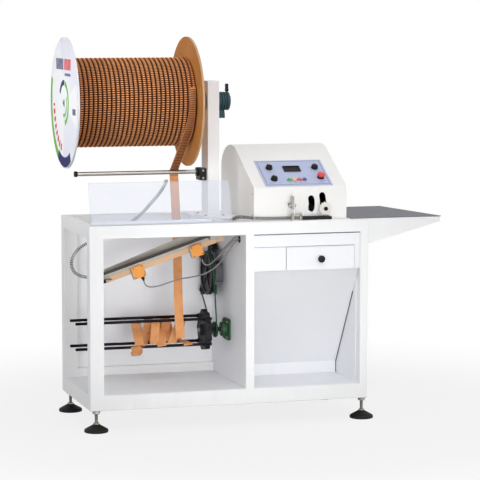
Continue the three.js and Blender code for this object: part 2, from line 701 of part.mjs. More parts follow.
// A folded strip behind the pane's foot that screws it to the rail
function guardStrip() {
  const { stripThick, stripHeight, stripDepth, leanDepth, leanHeight } = guard;
  const lean = leanDepth / leanHeight;
  const back = guard.foot + gap * Math.hypot(1, lean);
  const z0 = table.top + gap;
  return alongX([
    [back, z0], [back + stripDepth, z0], [back + stripDepth, z0 + stripThick],
    [back + stripThick + stripThick * lean, z0 + stripThick],
    [back + stripThick + stripHeight * lean, z0 + stripHeight], [back + stripHeight * lean, z0 + stripHeight],
  ], guard.left, topPlate.left - gap);
}

piece('guard_pane', guardPane(), finishes.acrylic);
piece('guard_strip', guardStrip(), finishes.blackSteel);

// Small angle plates on the trough's front that hold the sensors
function sensorBrackets() {
  const { side, thick, rise, lowAlong, highAlong, bracketThick } = sensor;
  const front = trough.front - gap - thick;
  const one = (along) => box(along - gap - bracketThick, along - gap, front, trough.front + trough.thick,
    rise - side, trough.thick);
  return join(one(lowAlong), one(highAlong));
}

// Inclined trough; its own frame has X up the slope, and is then turned and set in place

const troughSlope = Math.atan(trough.riseShare);
const troughLength = (trough.right - trough.left) / Math.cos(troughSlope);
const troughBack = trough.front + trough.wide;

function onSlope(geometry) {
  return geometry.rotateY(-troughSlope).translate(trough.left, 0, trough.floorStart);
}

function troughBody() {
  const { front, thick, frontWall, backWall, backWallLow, tabWide, tabThick, tabHeight, hangerAlong, plugLong,
    plugHigh } = trough;
  const floor = box(0, troughLength, front, troughBack, 0, thick);
  const frontSide = box(0, troughLength, front, front + thick, 0, frontWall);
  const backSide = alongY([[0, 0], [troughLength, 0], [troughLength, backWall], [0, backWallLow]],
    troughBack - thick, troughBack);
  const plug = box(0, plugLong, front - thick, front + thick, thick - plugHigh + thick, thick);
  const sloped = onSlope(join(floor, frontSide, backSide, plug, sensorBrackets()));
  const legBack = innerFront;
  const lowZ = trough.floorStart + trough.riseShare * tabWide / 2;
  const lowTab = join(
    box(table.legWide - tabWide - gap, table.legWide - gap, legBack, legBack + tabThick, lowZ - tabHeight,
      lowZ),
    box(table.legWide - tabWide - gap, trough.left + tabWide, legBack, front + thick, lowZ - tabThick, lowZ),
  );
  const hangX = trough.left + hangerAlong;
  const hangZ = trough.floorStart + trough.riseShare * (hangerAlong + tabWide / 2);
  const highTab = join(
    box(hangX, hangX + tabWide, legBack, legBack + tabThick, hangZ, table.top - table.topRail + tabHeight),
    box(hangX, hangX + tabWide, legBack, front + thick, hangZ, hangZ + tabThick),
  );
  return join(sloped, lowTab, highTab);
}

function troughRail() {
  const { front, railHigh, railThick, plugLong, tabWide, hangerAlong } = trough;
  const start = plugLong + gap;
  const rail = onSlope(box(start, troughLength, front, front + railThick, -railHigh, -gap));
  const lowZ = trough.floorStart + trough.riseShare * tabWide / 2;
  const clearTab = box(0, trough.left + tabWide + gap, front - overrun, front + railThick + overrun,
    lowZ - trough.tabThick - gap, lowZ + gap);
  const bracketSlots = [sensor.lowAlong, sensor.highAlong].map((along) => onSlope(box(
    along - sensor.bracketThick - 2 * gap, along, front - overrun, front + trough.thick + gap,
      -railHigh - overrun, overrun)));
  return cut(rail, clearTab, ...bracketSlots, box(trough.left + hangerAlong - gap,
    trough.left + hangerAlong + tabWide + gap,
    front - overrun, front + trough.thick + gap, trough.floorStart, table.top));
}

function sensorAt(along) {
  const { side, thick, rise, glandRadius, glandLength, faceSize } = sensor;
  const back = trough.front - gap;
  const bottom = rise - side;
  const body = box(along, along + side, back - thick, back, bottom, rise);
  const face = box(along + side - faceSize, along + side + sheet, back - thick + sheet, back - sheet,
    bottom + faceSize, bottom + side / 2);
  const gland = rod('z', glandRadius, glandLength,
    [along + side - 2 * glandRadius, back - thick / 2, bottom - glandLength + sheet], 12);
  return onSlope(join(body, face, gland));
}

piece('trough', troughBody(), finishes.greyPlastic);
piece('trough_rail', troughRail(), finishes.brownLaminate);
piece('sensor_low', sensorAt(sensor.lowAlong), finishes.orange);
piece('sensor_high', sensorAt(sensor.highAlong), finishes.orange);

// Take-up drive in the plane of its belt

const beltReach = { drive: drive.pulleyRadius - drive.grooveDepth + drive.beltRadius,
  reel: drive.reelRadius - drive.grooveDepth + drive.beltRadius,
  tension: drive.tensionRadius - drive.grooveDepth + drive.beltRadius };

// A belt pulley, turned about X and centred on the belt's plane
function beltPulley(radius, wide, { bore = 0, web = false, stub = 0 } = {}) {
  const seat = drive.beltRadius + drive.beltClear;
  const floor = radius - drive.grooveDepth - drive.beltClear;
  const half = wide / 2;
  const groove = [[radius, -seat], [floor, -seat / 2], [floor, seat / 2], [radius, seat]];
  const profile = [];
  if (web) {
    const rim = radius - drive.rimThick;
    profile.push([drive.hubRadius, -drive.hubWide / 2], [drive.hubRadius, -drive.webThick / 2],
      [rim, -drive.webThick / 2], [rim, -half], [radius, -half], ...groove, [radius, half], [rim, half],
      [rim, drive.webThick / 2], [drive.hubRadius, drive.webThick / 2], [drive.hubRadius, half]);
  } else {
    profile.push([radius, -half], ...groove, [radius, half]);
  }
  if (stub > 0) profile.push([drive.boreRadius, half], [drive.boreRadius, half + stub]);
  const start = profile[0][1];
  const end = profile[profile.length - 1][1];
  if (bore > 0) return [[bore, start], ...profile, [bore, end], [bore, start]];
  return [[0, start], ...profile, [0, end]];
}

function drivePulley() {
  const stub = gear.left - drive.planeX - drive.pulleyWide / 2 + overrun;
  return turned('x', beltPulley(drive.pulleyRadius, drive.pulleyWide, { web: true, stub }),
    [drive.planeX, drive.pulleyY, drive.pulleyZ], 26);
}

function tensionerPulley() {
  return turned('x', beltPulley(drive.tensionRadius, drive.tensionWide, { bore: drive.boreRadius / 2 + gap }),
    [drive.planeX, drive.tensionY, drive.tensionZ], 16);
}

function tensionerBracket() {
  const { planeX, tensionY, tensionZ, tensionWide, boreRadius, hubRadius } = drive;
  const wallX = partitionLeft - gap;
  const plateHalf = hubRadius;
  const plate = box(wallX - 2 * sheet, wallX, tensionY - plateHalf, tensionY + plateHalf,
    tensionZ - plateHalf, tensionZ + plateHalf);
  const pin = turned('x', [
    [0, planeX - tensionWide], [boreRadius, planeX - tensionWide],
      [boreRadius, planeX - tensionWide / 2 - gap],
    [boreRadius / 2, planeX - tensionWide / 2 - gap], [boreRadius / 2, planeX + tensionWide / 2 + gap],
    [boreRadius, planeX + tensionWide / 2 + gap], [boreRadius, wallX - sheet], [0, wallX - sheet],
  ], [0, tensionY, tensionZ], 10);
  return join(plate, pin);
}

function gearMotor() {
  const { left, front, back, bottom, top, bossRadius, bossLong } = gear;
  const wallX = partitionLeft - gap;
  const boss = rod('x', bossRadius, bossLong + sheet, [left - bossLong, drive.pulleyY, drive.pulleyZ], 16);
  const bore = rod('x', drive.boreRadius + gap, bossLong + 3 * overrun,
    [left - bossLong - overrun, drive.pulleyY, drive.pulleyZ], 12);
  const chamfer = drive.webThick;
  const shell = alongX([
    [front + chamfer, bottom], [back - chamfer, bottom], [back, bottom + chamfer], [back, top], [front, top],
      [front, bottom + chamfer],
  ], left, wallX);
  return cut(join(shell, boss, driveMotor()), bore);
}

// Finned motor that stands on the gearbox, with its terminal box and cable gland
function driveMotor() {
  const { motorX, motorY, motorRadius, motorTop, finStep, finDeep, fins, boxWide, boxDeep, boxBottom, boxHigh,
    glandRadius, glandLength, top } = gear;
  const start = top - sheet;
  const finStart = boxBottom + boxHigh;
  const profile = [[0, start], [motorRadius, start], [motorRadius, finStart]];
  for (let k = 0; k < fins; k += 1) {
    const at = finStart + k * finStep;
    profile.push([motorRadius - finDeep, at], [motorRadius - finDeep, at + finStep / 2],
      [motorRadius, at + finStep / 2], [motorRadius, at + finStep]);
  }
  profile.push([motorRadius - finDeep, motorTop], [0, motorTop]);
  const body = turned('z', profile, [motorX, motorY, 0], 12);
  const boxBack = motorY - motorRadius + finDeep;
  const terminal = box(motorX - boxWide / 2, motorX + boxWide / 2, boxBack - boxDeep, boxBack, boxBottom,
    boxBottom + boxHigh);
  const gland = rod('y', glandRadius, glandLength, [motorX, boxBack - boxDeep - glandLength + sheet,
    boxBottom + boxHigh / 2], 8);
  return join(body, terminal, gland);
}

function bearingHousing() {
  const { height, shaftRadius, housingSide, housingPlate, housingRadius, housingLong } = reel;
  const wallX = partitionLeft - gap;
  const half = housingSide / 2;
  const corner = half / 4;
  const y = midY;
  const plate = alongX([
    [y - half, height - half + corner], [y - half + corner, height - half],
      [y + half - corner, height - half],
    [y + half, height - half + corner], [y + half, height + half - corner],
      [y + half - corner, height + half],
    [y - half + corner, height + half], [y - half, height + half - corner],
  ], wallX - housingPlate, wallX);
  const boss = rod('x', housingRadius, housingLong + sheet, [wallX - housingPlate - housingLong, y, height],
    18);
  const bore = rod('x', shaftRadius + gap, housingLong + housingPlate + 2 * overrun,
    [wallX - housingPlate - housingLong - overrun, y, height], 14);
  return cut(join(plate, boss), bore);
}

// The belt runs round the three pulleys: two straight runs or an arc between each pair
function beltRings() {
  const wheels = [
    { y: drive.pulleyY, z: drive.pulleyZ, r: beltReach.drive },
    { y: midY, z: reel.height, r: beltReach.reel },
    { y: drive.tensionY, z: drive.tensionZ, r: beltReach.tension },
  ];
  const leave = wheels.map((wheel, k) => {
    const next = wheels[(k + 1) % wheels.length];
    const away = Math.atan2(next.z - wheel.z, next.y - wheel.y);
    return away - Math.acos((wheel.r - next.r) / Math.hypot(next.y - wheel.y, next.z - wheel.z));
  });
  const path = [];
  wheels.forEach((wheel, k) => {
    const from = leave[(k + wheels.length - 1) % wheels.length];
    let turn = leave[k] - from;
    while (turn < 0) turn += 2 * Math.PI;
    const steps = Math.max(3, Math.round(turn * 4.5));
    for (let i = 0; i <= steps; i += 1) path.push({ wheel, angle: from + turn * i / steps });
  });
  return path.map(({ wheel, angle }) => {
    const outward = new THREE.Vector3(0, Math.cos(angle), Math.sin(angle));
    const centre = new THREE.Vector3(drive.planeX, wheel.y, wheel.z).addScaledVector(outward, wheel.r);
    return Array.from({ length: drive.beltSides }, (_, side) => {
      const turn = (2 * Math.PI * side) / drive.beltSides;
      return centre.clone().add(new THREE.Vector3(drive.beltRadius * Math.cos(turn), 0, 0))
        .addScaledVector(outward, drive.beltRadius * Math.sin(turn));
    });
  });
}

piece('gear_motor', gearMotor(), finishes.blackSteel);
piece('drive_pulley', drivePulley(), finishes.blackSteel);
piece('tensioner_pulley', tensionerPulley(), finishes.blackPlastic);
piece('tensioner_bracket', tensionerBracket(), finishes.blackSteel);
piece('drive_belt', sweep(beltRings(), true), finishes.beltGreen);
piece('bearing_housing', bearingHousing(), finishes.greenPaint);

// Take-up reel

function reelShaft() {
  const { shaftRadius, discLeft, discThick, hubLong, height, shaftEndGap } = reel;
  const pulley = beltPulley(drive.reelRadius, drive.reelWide).slice(1, -1)
    .map(([radius, along]) => [radius, along + drive.planeX]);
  const start = discLeft + discThick + hubLong + gap;
  const end = partitionLeft - gap - shaftEndGap;
  return turned('x', [
    [0, discLeft - hubLong], [shaftRadius, discLeft - hubLong], [shaftRadius, start],
    [shaftRadius, pulley[0][1]], ...pulley, [shaftRadius, pulley[pulley.length - 1][1]], [shaftRadius, end],
      [0, end],
  ], [0, midY, height], 14);
}

const rodPlaces = [[-1, -1], [1, -1], [1, 1], [-1, 1]]
  .map(([a, b]) => [midY + a * reel.rodOffset, reel.height + b * reel.rodOffset]);

// The lobed disc with its four long rods
function reelSpider() {
  const { discLeft, discThick, discRadius, lobeHeight, lobes, hubRadius, hubLong, shaftRadius,
    height } = reel;
  const { rodRadius, rodLeft, rodEnd } = reel;
  const points = Array.from({ length: lobes * 4 }, (_, k) => {
    const angle = (2 * Math.PI * k) / (lobes * 4);
    const radius = discRadius + lobeHeight * Math.cos(lobes * angle);
    return [midY + radius * Math.cos(angle), height + radius * Math.sin(angle)];
  });
  const hub = rod('x', hubRadius, discThick + 2 * hubLong, [discLeft - hubLong, midY, height], 16);
  const bore = rod('x', shaftRadius + gap, discThick + 2 * hubLong + 2 * overrun,
    [discLeft - hubLong - overrun, midY, height], 16);
  const rods = rodPlaces.map(([y, z]) => rod('x', rodRadius, discLeft + discThick + rodEnd - rodLeft,
    [rodLeft, y, z], 8));
  return cut(join(alongX(points, discLeft, discLeft + discThick), hub, ...rods), bore);
}

// Loose paper turns: one unbroken band that winds round the four rods. Each turn is four quarter arcs about
// the rods with straight runs between them.
function reelPaperRings() {
  const { wide, thick, turns, turnStep, turnStart, rodClear, arcSteps, runSteps } = paper;
  const reach = reel.rodRadius + rodClear + thick / 2;
  const side = 2 * reel.rodOffset;
  const quarter = Math.PI / 2;
  const perSide = arcSteps + runSteps;
  const sideLong = reach * quarter + side;
  const ringAt = (k) => {
    const corner = Math.floor(k / perSide);
    const step = k % perSide;
    const turn = corner * quarter;
    const onArc = Math.min(step / arcSteps, 1);
    const onRun = Math.max(0, step - arcSteps) / runSteps;
    const angle = turn + quarter * onArc;
    const outward = new THREE.Vector3(0, -Math.cos(angle), Math.sin(angle));
    const onward = new THREE.Vector3(0, Math.sin(angle), Math.cos(angle));
    const rodCentre = new THREE.Vector3(0, -Math.cos(turn) - Math.sin(turn), Math.sin(turn) - Math.cos(turn));
    rodCentre.applyAxisAngle(new THREE.Vector3(1, 0, 0), -quarter).multiplyScalar(reel.rodOffset);
    const along = corner + (reach * quarter * onArc + side * onRun) / sideLong;
    const centre = rodCentre.addScaledVector(outward, reach).addScaledVector(onward, side * onRun)
      .add(new THREE.Vector3(turnStart - turnStep * along / 4, midY, reel.height));
    const flats = [[-1, 0.3], [-0.8, 1], [0.8, 1], [1, 0.3], [0.8, -1], [-0.8, -1]];
    return flats.map(([u, v]) => centre.clone().add(new THREE.Vector3(u * wide / 2, 0, 0))
      .addScaledVector(outward, v * thick / 2));
  };
  return Array.from({ length: turns * 4 * perSide + 1 }, (_, k) => ringAt(k));
}

const reelTurns = reelPaperRings();
const paperGap = leastSelfGap(reelTurns, 2 * (paper.arcSteps + paper.runSteps));
console.log(`reel paper: ${paper.turns} turns, least gap to itself ${paperGap.toFixed(2)} mm`);

piece('reel_shaft', reelShaft(), finishes.blackSteel);
piece('reel_spider', reelSpider(), finishes.blackSteel);
piece('reel_paper', sweep(reelTurns), finishes.paper);

// Paper strip: off the spool, behind the guide roller and down to the front of the reel

const spoolSweep = Math.hypot(windCentre, wind.tubeWide) + wind.tubeHigh / 2 + paper.sweepClear;
const reelSweep = reel.discRadius + reel.lobeHeight + paper.sweepClear;
const rollerReach = guide.radius + gap + paper.thick / 2;

function paperPath() {
  const spoolCircle = { y: midY, z: spool.axisHeight, r: spoolSweep };
  const rollerCircle = { y: midY, z: guide.height, r: rollerReach };
  const reelCircle = { y: midY, z: reel.height, r: reelSweep };
  const at = (circle, angle) => ({ y: circle.y + circle.r * Math.cos(angle),
    z: circle.z + circle.r * Math.sin(angle) });
  const spanUp = spoolCircle.z - rollerCircle.z;
  const spanDown = rollerCircle.z - reelCircle.z;
  const leanUp = Math.asin((spoolCircle.r + rollerCircle.r) / spanUp);
  const leanDown = Math.asin((rollerCircle.r + reelCircle.r) / spanDown);
  const path = [];
  const add = (point, x) => path.push(new THREE.Vector3(x, point.y, point.z));
  const leaveSpool = Math.PI + leanUp;
  for (let k = 0; k <= 6; k += 1) {
    add(at(spoolCircle, leaveSpool - paper.spoolWrap * (1 - k / 6)),
      paper.spoolX - (paper.spoolX - paper.centreX) * 0.05 * k);
  }
  const onRoller = leanUp;
  const offRoller = -leanDown;
  for (let k = 0; k <= 5; k += 1) {
    add(at(rollerCircle, onRoller + (offRoller - onRoller) * k / 5), paper.centreX);
  }
  const meetReel = Math.PI - leanDown;
  for (let k = 0; k <= 4; k += 1) {
    add(at(reelCircle, meetReel + paper.reelWrap * k / 4), paper.centreX);
  }
  return path;
}

// A flat band along a path in which every cross direction is X
function band(path, wide, thick) {
  const rings = path.map((point, k) => {
    const before = path[Math.max(0, k - 1)];
    const after = path[Math.min(path.length - 1, k + 1)];
    const along = after.clone().sub(before).setX(0).normalize();
    const normal = new THREE.Vector3(0, -along.z, along.y);
    return [[-1, -1], [1, -1], [1, 1], [-1, 1]].map(([u, v]) => point.clone()
      .add(new THREE.Vector3(u * wide / 2, 0, 0)).addScaledVector(normal, v * thick / 2));
  });
  return sweep(rings);
}

piece('paper_strip', band(paperPath(), paper.wide, paper.thick), finishes.paper);

// Free strand of twin-loop wire: down from the guide roller, out at the left, up the trough and to the head.
// Its points are chosen by hand.
const strandRoute = [
  [398, 279, 1012], [382, 262, 988], [352, 226, 960], [308, 192, 924], [262, 166, 884], [205, 150, 846],
  [140, 142, 818], [80, 136, 794], [18, 134, 768], [-28, 134, 732], [-46, 135, 690], [-34, 137, 652],
  [6, 139, 630], [52, 140, 628], [100, 140, 641.7], [170, 140, 664.2], [250, 140, 690.1], [330, 140, 716],
  [410, 140, 741.9], [490, 140, 768.1], [556, 139, 790.3], [598, 134, 816], [628, 118, 844], [648, 86, 863],
  [674, 52, 866], [706, 32, 864], [744, 27, 862], [786, 26, 861], [840, 26, 861], [882, 26, 861],
    [911, 26, 861],
];
const wireStrand = cord(strandRoute, strand.diameter, strand.sides, 3 * strand.diameter);
console.log(`wire strand length ${wireStrand.length.toFixed(0)} mm`);
piece('wire_strand', wireStrand.geometry, finishes.steel);

// Head housing: a folded sheet over two end plates, open below

function headOutline(inset) {
  const { front, kneeHeight, slopeEndY, slopeEndZ, apexY, apexZ, backY, backShoulderZ } = head;
  const shape = new THREE.Path();
  const bottom = plateTop + gap - (inset > 0 ? overrun : 0);
  shape.moveTo(front + inset, bottom);
  shape.lineTo(front + inset, kneeHeight - inset / 2);
  shape.lineTo(slopeEndY + inset / 2, slopeEndZ - inset);
  shape.quadraticCurveTo(apexY - (apexY - slopeEndY) / 3, apexZ - inset, apexY, apexZ - inset);
  shape.bezierCurveTo(apexY + (backY - apexY) * 0.6, apexZ - inset, backY - inset,
    backShoulderZ + (apexZ - backShoulderZ) * 0.4, backY - inset, backShoulderZ);
  shape.lineTo(backY - inset, bottom);
  return shape.getPoints(6).map((point) => [point.x, point.y]);
}

const slopeAngle = Math.atan2(head.slopeEndZ - head.kneeHeight, head.slopeEndY - head.front);

// Moves a geometry from the panel's own frame (X along, Y up the slope, Z out of it) to its place
function onPanel(geometry, x = 0, up = 0) {
  return geometry.translate(x, up, 0).rotateX(slopeAngle).translate(0, head.front, head.kneeHeight);
}

// A slot that follows the swing arm's axle
function arcSlot(reach) {
  const { pivotX, pivotZ, slotWide, slotFrom, slotTo, slotSteps, slotEndSteps } = feed;
  const half = slotWide / 2;
  const place = (radius, angle) => [pivotX + radius * Math.cos(angle), pivotZ + radius * Math.sin(angle)];
  // A half circle about one end of the slot, from the given direction on
  const roundEnd = (angle, start) => {
    const [x, z] = place(reach, angle);
    return Array.from({ length: slotEndSteps + 1 }, (_, k) => {
      const turn = start + (Math.PI * k) / slotEndSteps;
      return [x + half * Math.cos(turn), z + half * Math.sin(turn)];
    });
  };
  const outline = [];
  const angleAt = (k) => slotFrom + (slotTo - slotFrom) * k / slotSteps;
  for (let k = 1; k < slotSteps; k += 1) outline.push(place(reach + half, angleAt(k)));
  outline.push(...roundEnd(slotTo, slotTo));
  for (let k = slotSteps - 1; k > 0; k -= 1) outline.push(place(reach - half, angleAt(k)));
  outline.push(...roundEnd(slotFrom, slotFrom + Math.PI));
  return alongY(outline, head.front - overrun, head.front + head.wall + overrun);
}

function housing() {
  const { left, right, wall, front, panelLeft, panelRight, panelLow, panelHigh, windowMargin } = head;
  const hollow = cut(alongX(headOutline(0), left, right), alongX(headOutline(wall), left + wall,
    right - wall));
  const window = onPanel(box(panelLeft + windowMargin, panelRight - windowMargin, panelLow + windowMargin,
    panelHigh - windowMargin, -wall - overrun, overrun));
  const pivotHole = rod('y', feed.axleRadius + gap, wall + 2 * overrun,
    [feed.pivotX, front - overrun, feed.pivotZ], 16);
  return cut(hollow, window, arcSlot(feed.wheelReach), arcSlot(feed.pinReach), pivotHole);
}

const panelBase = gap;
const panelFace = panelBase + head.panelThick;

function throughPanel(radius, [x, up]) {
  return onPanel(rod('z', radius, head.panelThick + 2 * overrun + stop.depth, [0, 0, -overrun], 12), x, up);
}

const buttonColumns = [controls.green, controls.amber, controls.red, controls.blue];
const buttonPlaces = buttonColumns.map((x) => [x, controls.buttonAt]);

function controlPanel() {
  const { panelLeft, panelRight, panelLow, panelHigh, panelThick, displayLeft, displayRight, displayLow,
    displayHigh, displayRim, displayRimWide } = head;
  const plate = onPanel(box(panelLeft, panelRight, panelLow, panelHigh, panelBase, panelBase + panelThick));
  const rim = onPanel(box(displayLeft - displayRimWide, displayRight + displayRimWide,
    displayLow - displayRimWide,
    displayHigh + displayRimWide, panelBase + panelThick / 2, panelFace + displayRim));
  const glass = onPanel(box(displayLeft, displayRight, displayLow, displayHigh, panelFace + displayRim / 2,
    panelFace + displayRim + overrun));
  const bezels = buttonPlaces.map(([x, up]) => onPanel(rod('z', button.bezel,
    button.bezelHigh + panelThick / 2, [0, 0, panelBase + panelThick / 2], 12), x, up));
  const collar = onPanel(rod('z', stop.collar, stop.collarHigh + panelThick / 2,
    [0, 0, panelBase + panelThick / 2], 12), ...controls.emergency);
  const holes = [
    ...buttonPlaces.map((place) => throughPanel(button.radius + gap, place)),
    throughPanel(stop.neck + gap, controls.emergency),
    ...[controls.speedKnob, controls.selector, controls.lengthKnob].map((place) =>
      throughPanel(dial.spindle + gap, place)),
  ];
  return cut(cut(join(plate, rim, ...bezels, collar), glass), ...holes);
}

function knob(place) {
  const { radius, skirtRadius, skirt, height, spindle, ridgeWide, ridgeHigh } = dial;
  const start = panelFace + gap;
  const body = turned('z', [
    [0, panelBase], [spindle, panelBase], [spindle, start], [skirtRadius, start],
      [skirtRadius, start + skirt / 2],
    [radius, start + skirt], [radius - sheet / 2, start + height - sheet], [radius - sheet, start + height],
      [0, start + height],
  ], [0, 0, 0], 14);
  const ridge = box(-ridgeWide / 2, ridgeWide / 2, -radius + sheet, radius - sheet, start + height - sheet,
    start + height + ridgeHigh);
  return onPanel(join(body, ridge), ...place);
}

function pushButton(place) {
  const { radius, bezelHigh, capHigh, depth } = button;
  const capTop = panelFace + bezelHigh + capHigh;
  return onPanel(turned('z', [
    [0, -depth], [radius, -depth], [radius, capTop - sheet / 2], [radius - sheet, capTop], [0, capTop],
  ], [0, 0, 0], 14), ...place);
}

function emergencyButton() {
  const { radius, headHigh, neck, neckHigh, collarHigh, depth, travel } = stop;
  const underHead = panelFace + collarHigh + travel + gap;
  const top = underHead + headHigh;
  return onPanel(turned('z', [
    [0, -depth], [neck, -depth], [neck, underHead], [radius - sheet, underHead],
      [radius, underHead + neckHigh / 3],
    [radius, top - neckHigh / 3], [radius - 2 * sheet, top], [0, top + sheet / 2],
  ], [0, 0, 0], 18), ...controls.emergency);
}

piece('head_housing', housing(), finishes.whitePaint);
piece('control_panel', controlPanel(), finishes.panelBlue);
piece('speed_knob', knob(controls.speedKnob), finishes.blackPlastic);
piece('selector_knob', knob(controls.selector), finishes.blackPlastic);
piece('length_knob', knob(controls.lengthKnob), finishes.blackPlastic);
piece('green_button', pushButton(buttonPlaces[0]), finishes.green);
piece('amber_button', pushButton(buttonPlaces[1]), finishes.amber);
piece('red_button', pushButton(buttonPlaces[2]), finishes.red);
piece('blue_button', pushButton(buttonPlaces[3]), finishes.blue);
piece('emergency_button', emergencyButton(), finishes.red);

// Feeding parts in front of the housing

const wheelCentre = [feed.pivotX + feed.wheelReach * Math.cos(feed.wheelAngle),
  feed.pivotZ + feed.wheelReach * Math.sin(feed.wheelAngle)];

function feedBase() {
  const { baseLeft, baseRight, baseFront, baseBack, baseHigh, channelWide, channelDeep } = feed;
  const z0 = plateTop + gap;
  const middle = feed.wheelFront + feed.wheelThick / 2;
  return cut(
    box(baseLeft, baseRight, baseFront, baseBack, z0, z0 + baseHigh),
    box(baseLeft - overrun, baseRight + overrun, middle - channelWide / 2, middle + channelWide / 2,
      z0 + baseHigh - channelDeep, z0 + baseHigh + overrun),
  );
}

function guidePost() {
  const { postX, postFront, postSide, postHigh, postSmallX, postSmallSide, postSmallHigh, linkHigh } = feed;
  const z0 = plateTop + gap;
  const z1 = z0 + postHigh;
  const bar = (x, side, high) => box(x - side / 2, x + side / 2, postFront - side / 2, postFront + side / 2,
    z0, z0 + high);
  return join(
    bar(postX, postSide, postHigh),
    bar(postSmallX, postSmallSide, postSmallHigh),
    box(postX, postSmallX, postFront - linkHigh / 2, postFront + linkHigh / 2, z1 - linkHigh, z1),
  );
}

// The arm inside the housing, its pivot shaft with the hand lever outside, and the feed wheel's axle
function swingArm() {
  const { pivotX, pivotZ, wheelReach, wheelAngle, armHigh, armThick, armInset, axleRadius, wheelFront,
    wheelThick, hubRadius,
    hubLong, leverHub, leverLong, leverWide, leverThick, leverFront } = feed;
  const armFront = head.front + head.wall + armInset;
  const arm = box(0, wheelReach, armFront, armFront + armThick, -armHigh / 2, armHigh / 2);
  const ends = [0, wheelReach].map((x) => rod('y', armHigh / 2, armThick, [x, armFront, 0], 12));
  const shaft = rod('y', axleRadius, armFront + armThick / 2 - leverFront, [0, leverFront, 0], 12);
  const axleStart = wheelFront - hubLong;
  const axle = rod('y', axleRadius, armFront + armThick / 2 - axleStart, [wheelReach, axleStart, 0], 12);
  const shoulder = rod('y', hubRadius, hubLong, [wheelReach, wheelFront + wheelThick + gap, 0], 12);
  const inner = join(arm, ...ends, shaft, axle, shoulder).rotateY(-wheelAngle);
  const hub = rod('y', leverHub, leverThick, [0, leverFront, 0], 14);
  const lever = alongY([
    [-leverWide / 2, 0], [leverWide / 2, 0], [leverWide / 2, leverLong - leverWide / 2],
    [0, leverLong], [-leverWide / 2, leverLong - leverWide / 2],
  ], leverFront, leverFront + leverThick);
  return join(inner, hub, lever).translate(pivotX, 0, pivotZ);
}

function feedWheel() {
  const { wheelRadius, toothHigh, teeth, wheelThick, wheelFront, axleRadius } = feed;
  const outline = [];
  for (let k = 0; k < teeth; k += 1) {
    for (const [share, radius] of [[0, wheelRadius], [0.2, wheelRadius + toothHigh],
      [0.5, wheelRadius + toothHigh], [0.7, wheelRadius]]) {
      const angle = (2 * Math.PI * (k + share)) / teeth;
      outline.push([radius * Math.cos(angle), radius * Math.sin(angle)]);
    }
  }
  const blank = alongY(outline, wheelFront, wheelFront + wheelThick);
  const bore = rod('y', axleRadius + gap, wheelThick + 2 * overrun, [0, wheelFront - overrun, 0], 12);
  return cut(blank, bore).translate(wheelCentre[0], 0, wheelCentre[1]);
}

piece('feed_base', feedBase(), finishes.blackSteel);
piece('guide_post', guidePost(), finishes.steel);
piece('swing_arm', swingArm(), finishes.steel);
piece('feed_wheel', feedWheel(), finishes.nylon);

// Wing table at the right

function wingBracket() {
  const { tipX, backX, backY, bracketDrop, tipDrop, lip } = wing;
  const z1 = plateTop;
  const wallX = table.length + gap;
  const profile = (x1) => [[wallX, table.top - bracketDrop], [x1, table.top - tipDrop], [x1, z1],
    [wallX, z1]];
  const inset = 2 * lip;
  return join(
    alongY(profile(tipX - inset), gap, gap + lip),
    alongY(profile(backX - inset), backY - lip, backY),
    box(wallX, wallX + lip, gap, backY, table.top - bracketDrop, z1),
    alongZ([[wallX, gap], [tipX - inset, gap], [backX - inset, backY], [wallX, backY]], z1 - lip, z1),
  );
}

piece('wing_plate', alongZ([
  [wing.left, gap], [wing.tipX, gap], [wing.backX, wing.backY], [wing.left, wing.backY],
], plateTop + gap, plateTop + gap + wing.thick), finishes.wingGrey);
piece('wing_bracket', wingBracket(), finishes.whitePaint);

// Cables; their points are chosen by hand
const cableRoutes = {
  sensor_cable_low: [
    [247.7, 81.7, 611.9], [252, 82, 598.6], [268, 86, 586], [312, 100, 585], [360, 124, 594], [420, 145, 606],
    [480, 155, 612], [532, 158, 624], [574, 154, 648], [606, 146, 684], [628, 130, 720], [642, 110, 750],
      [651.5, 102, 762.8], [661.8, 101, 764],
  ],
  sensor_cable_high: [
    [497, 81.7, 692.7], [501.3, 82.2, 679.4], [514, 93, 668], [537, 108, 668], [568, 118, 689],
      [600, 116, 720],
    [624, 106, 746], [640, 96, 765], [651, 92.4, 769.8], [661.8, 92, 770],
  ],
  motor_cable: [
    [642, 361, 697], [642, 340, 697], [643, 300, 704], [645, 250, 722], [647, 200, 742], [647, 144, 764],
      [649, 114, 777], [654, 105, 779], [661.7, 104, 779],
  ],
};
for (const [name, route] of Object.entries(cableRoutes)) {
  const lead = cord(route, cable.diameter, cable.sides, 3 * cable.diameter);
  console.log(`${name} length ${lead.length.toFixed(0)} mm`);
  piece(name, lead.geometry, finishes.greyCable);
}

// The origin is below the middle of the object without its free cords
const cordNames = ['wire_strand', ...Object.keys(cableRoutes)];
const bounds = new THREE.Box3();
for (const mesh of model.children) {
  if (!cordNames.includes(mesh.name)) bounds.expandByObject(mesh);
}
const centre = bounds.getCenter(new THREE.Vector3());
model.position.set(-centre.x, -centre.y, 0);

export default model;
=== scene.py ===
"""Dresses the wire cutting machine: its table, wire spool, paper take-up drive and cutting head.

Lengths in the classes are millimetres, measured from the table's front left corner on the floor, with X to
the right, Y to the back and Z up. `Workshop` turns them into metres about the middle of the machine. A
profile holds pairs of radius and height along its axis.
"""

from __future__ import annotations

import json
import logging
import math
from dataclasses import dataclass, field
from enum import Enum
from typing import Callable, Sequence

import bmesh
import bpy
from mathutils import Matrix, Vector
from mathutils.geometry import tessellate_polygon

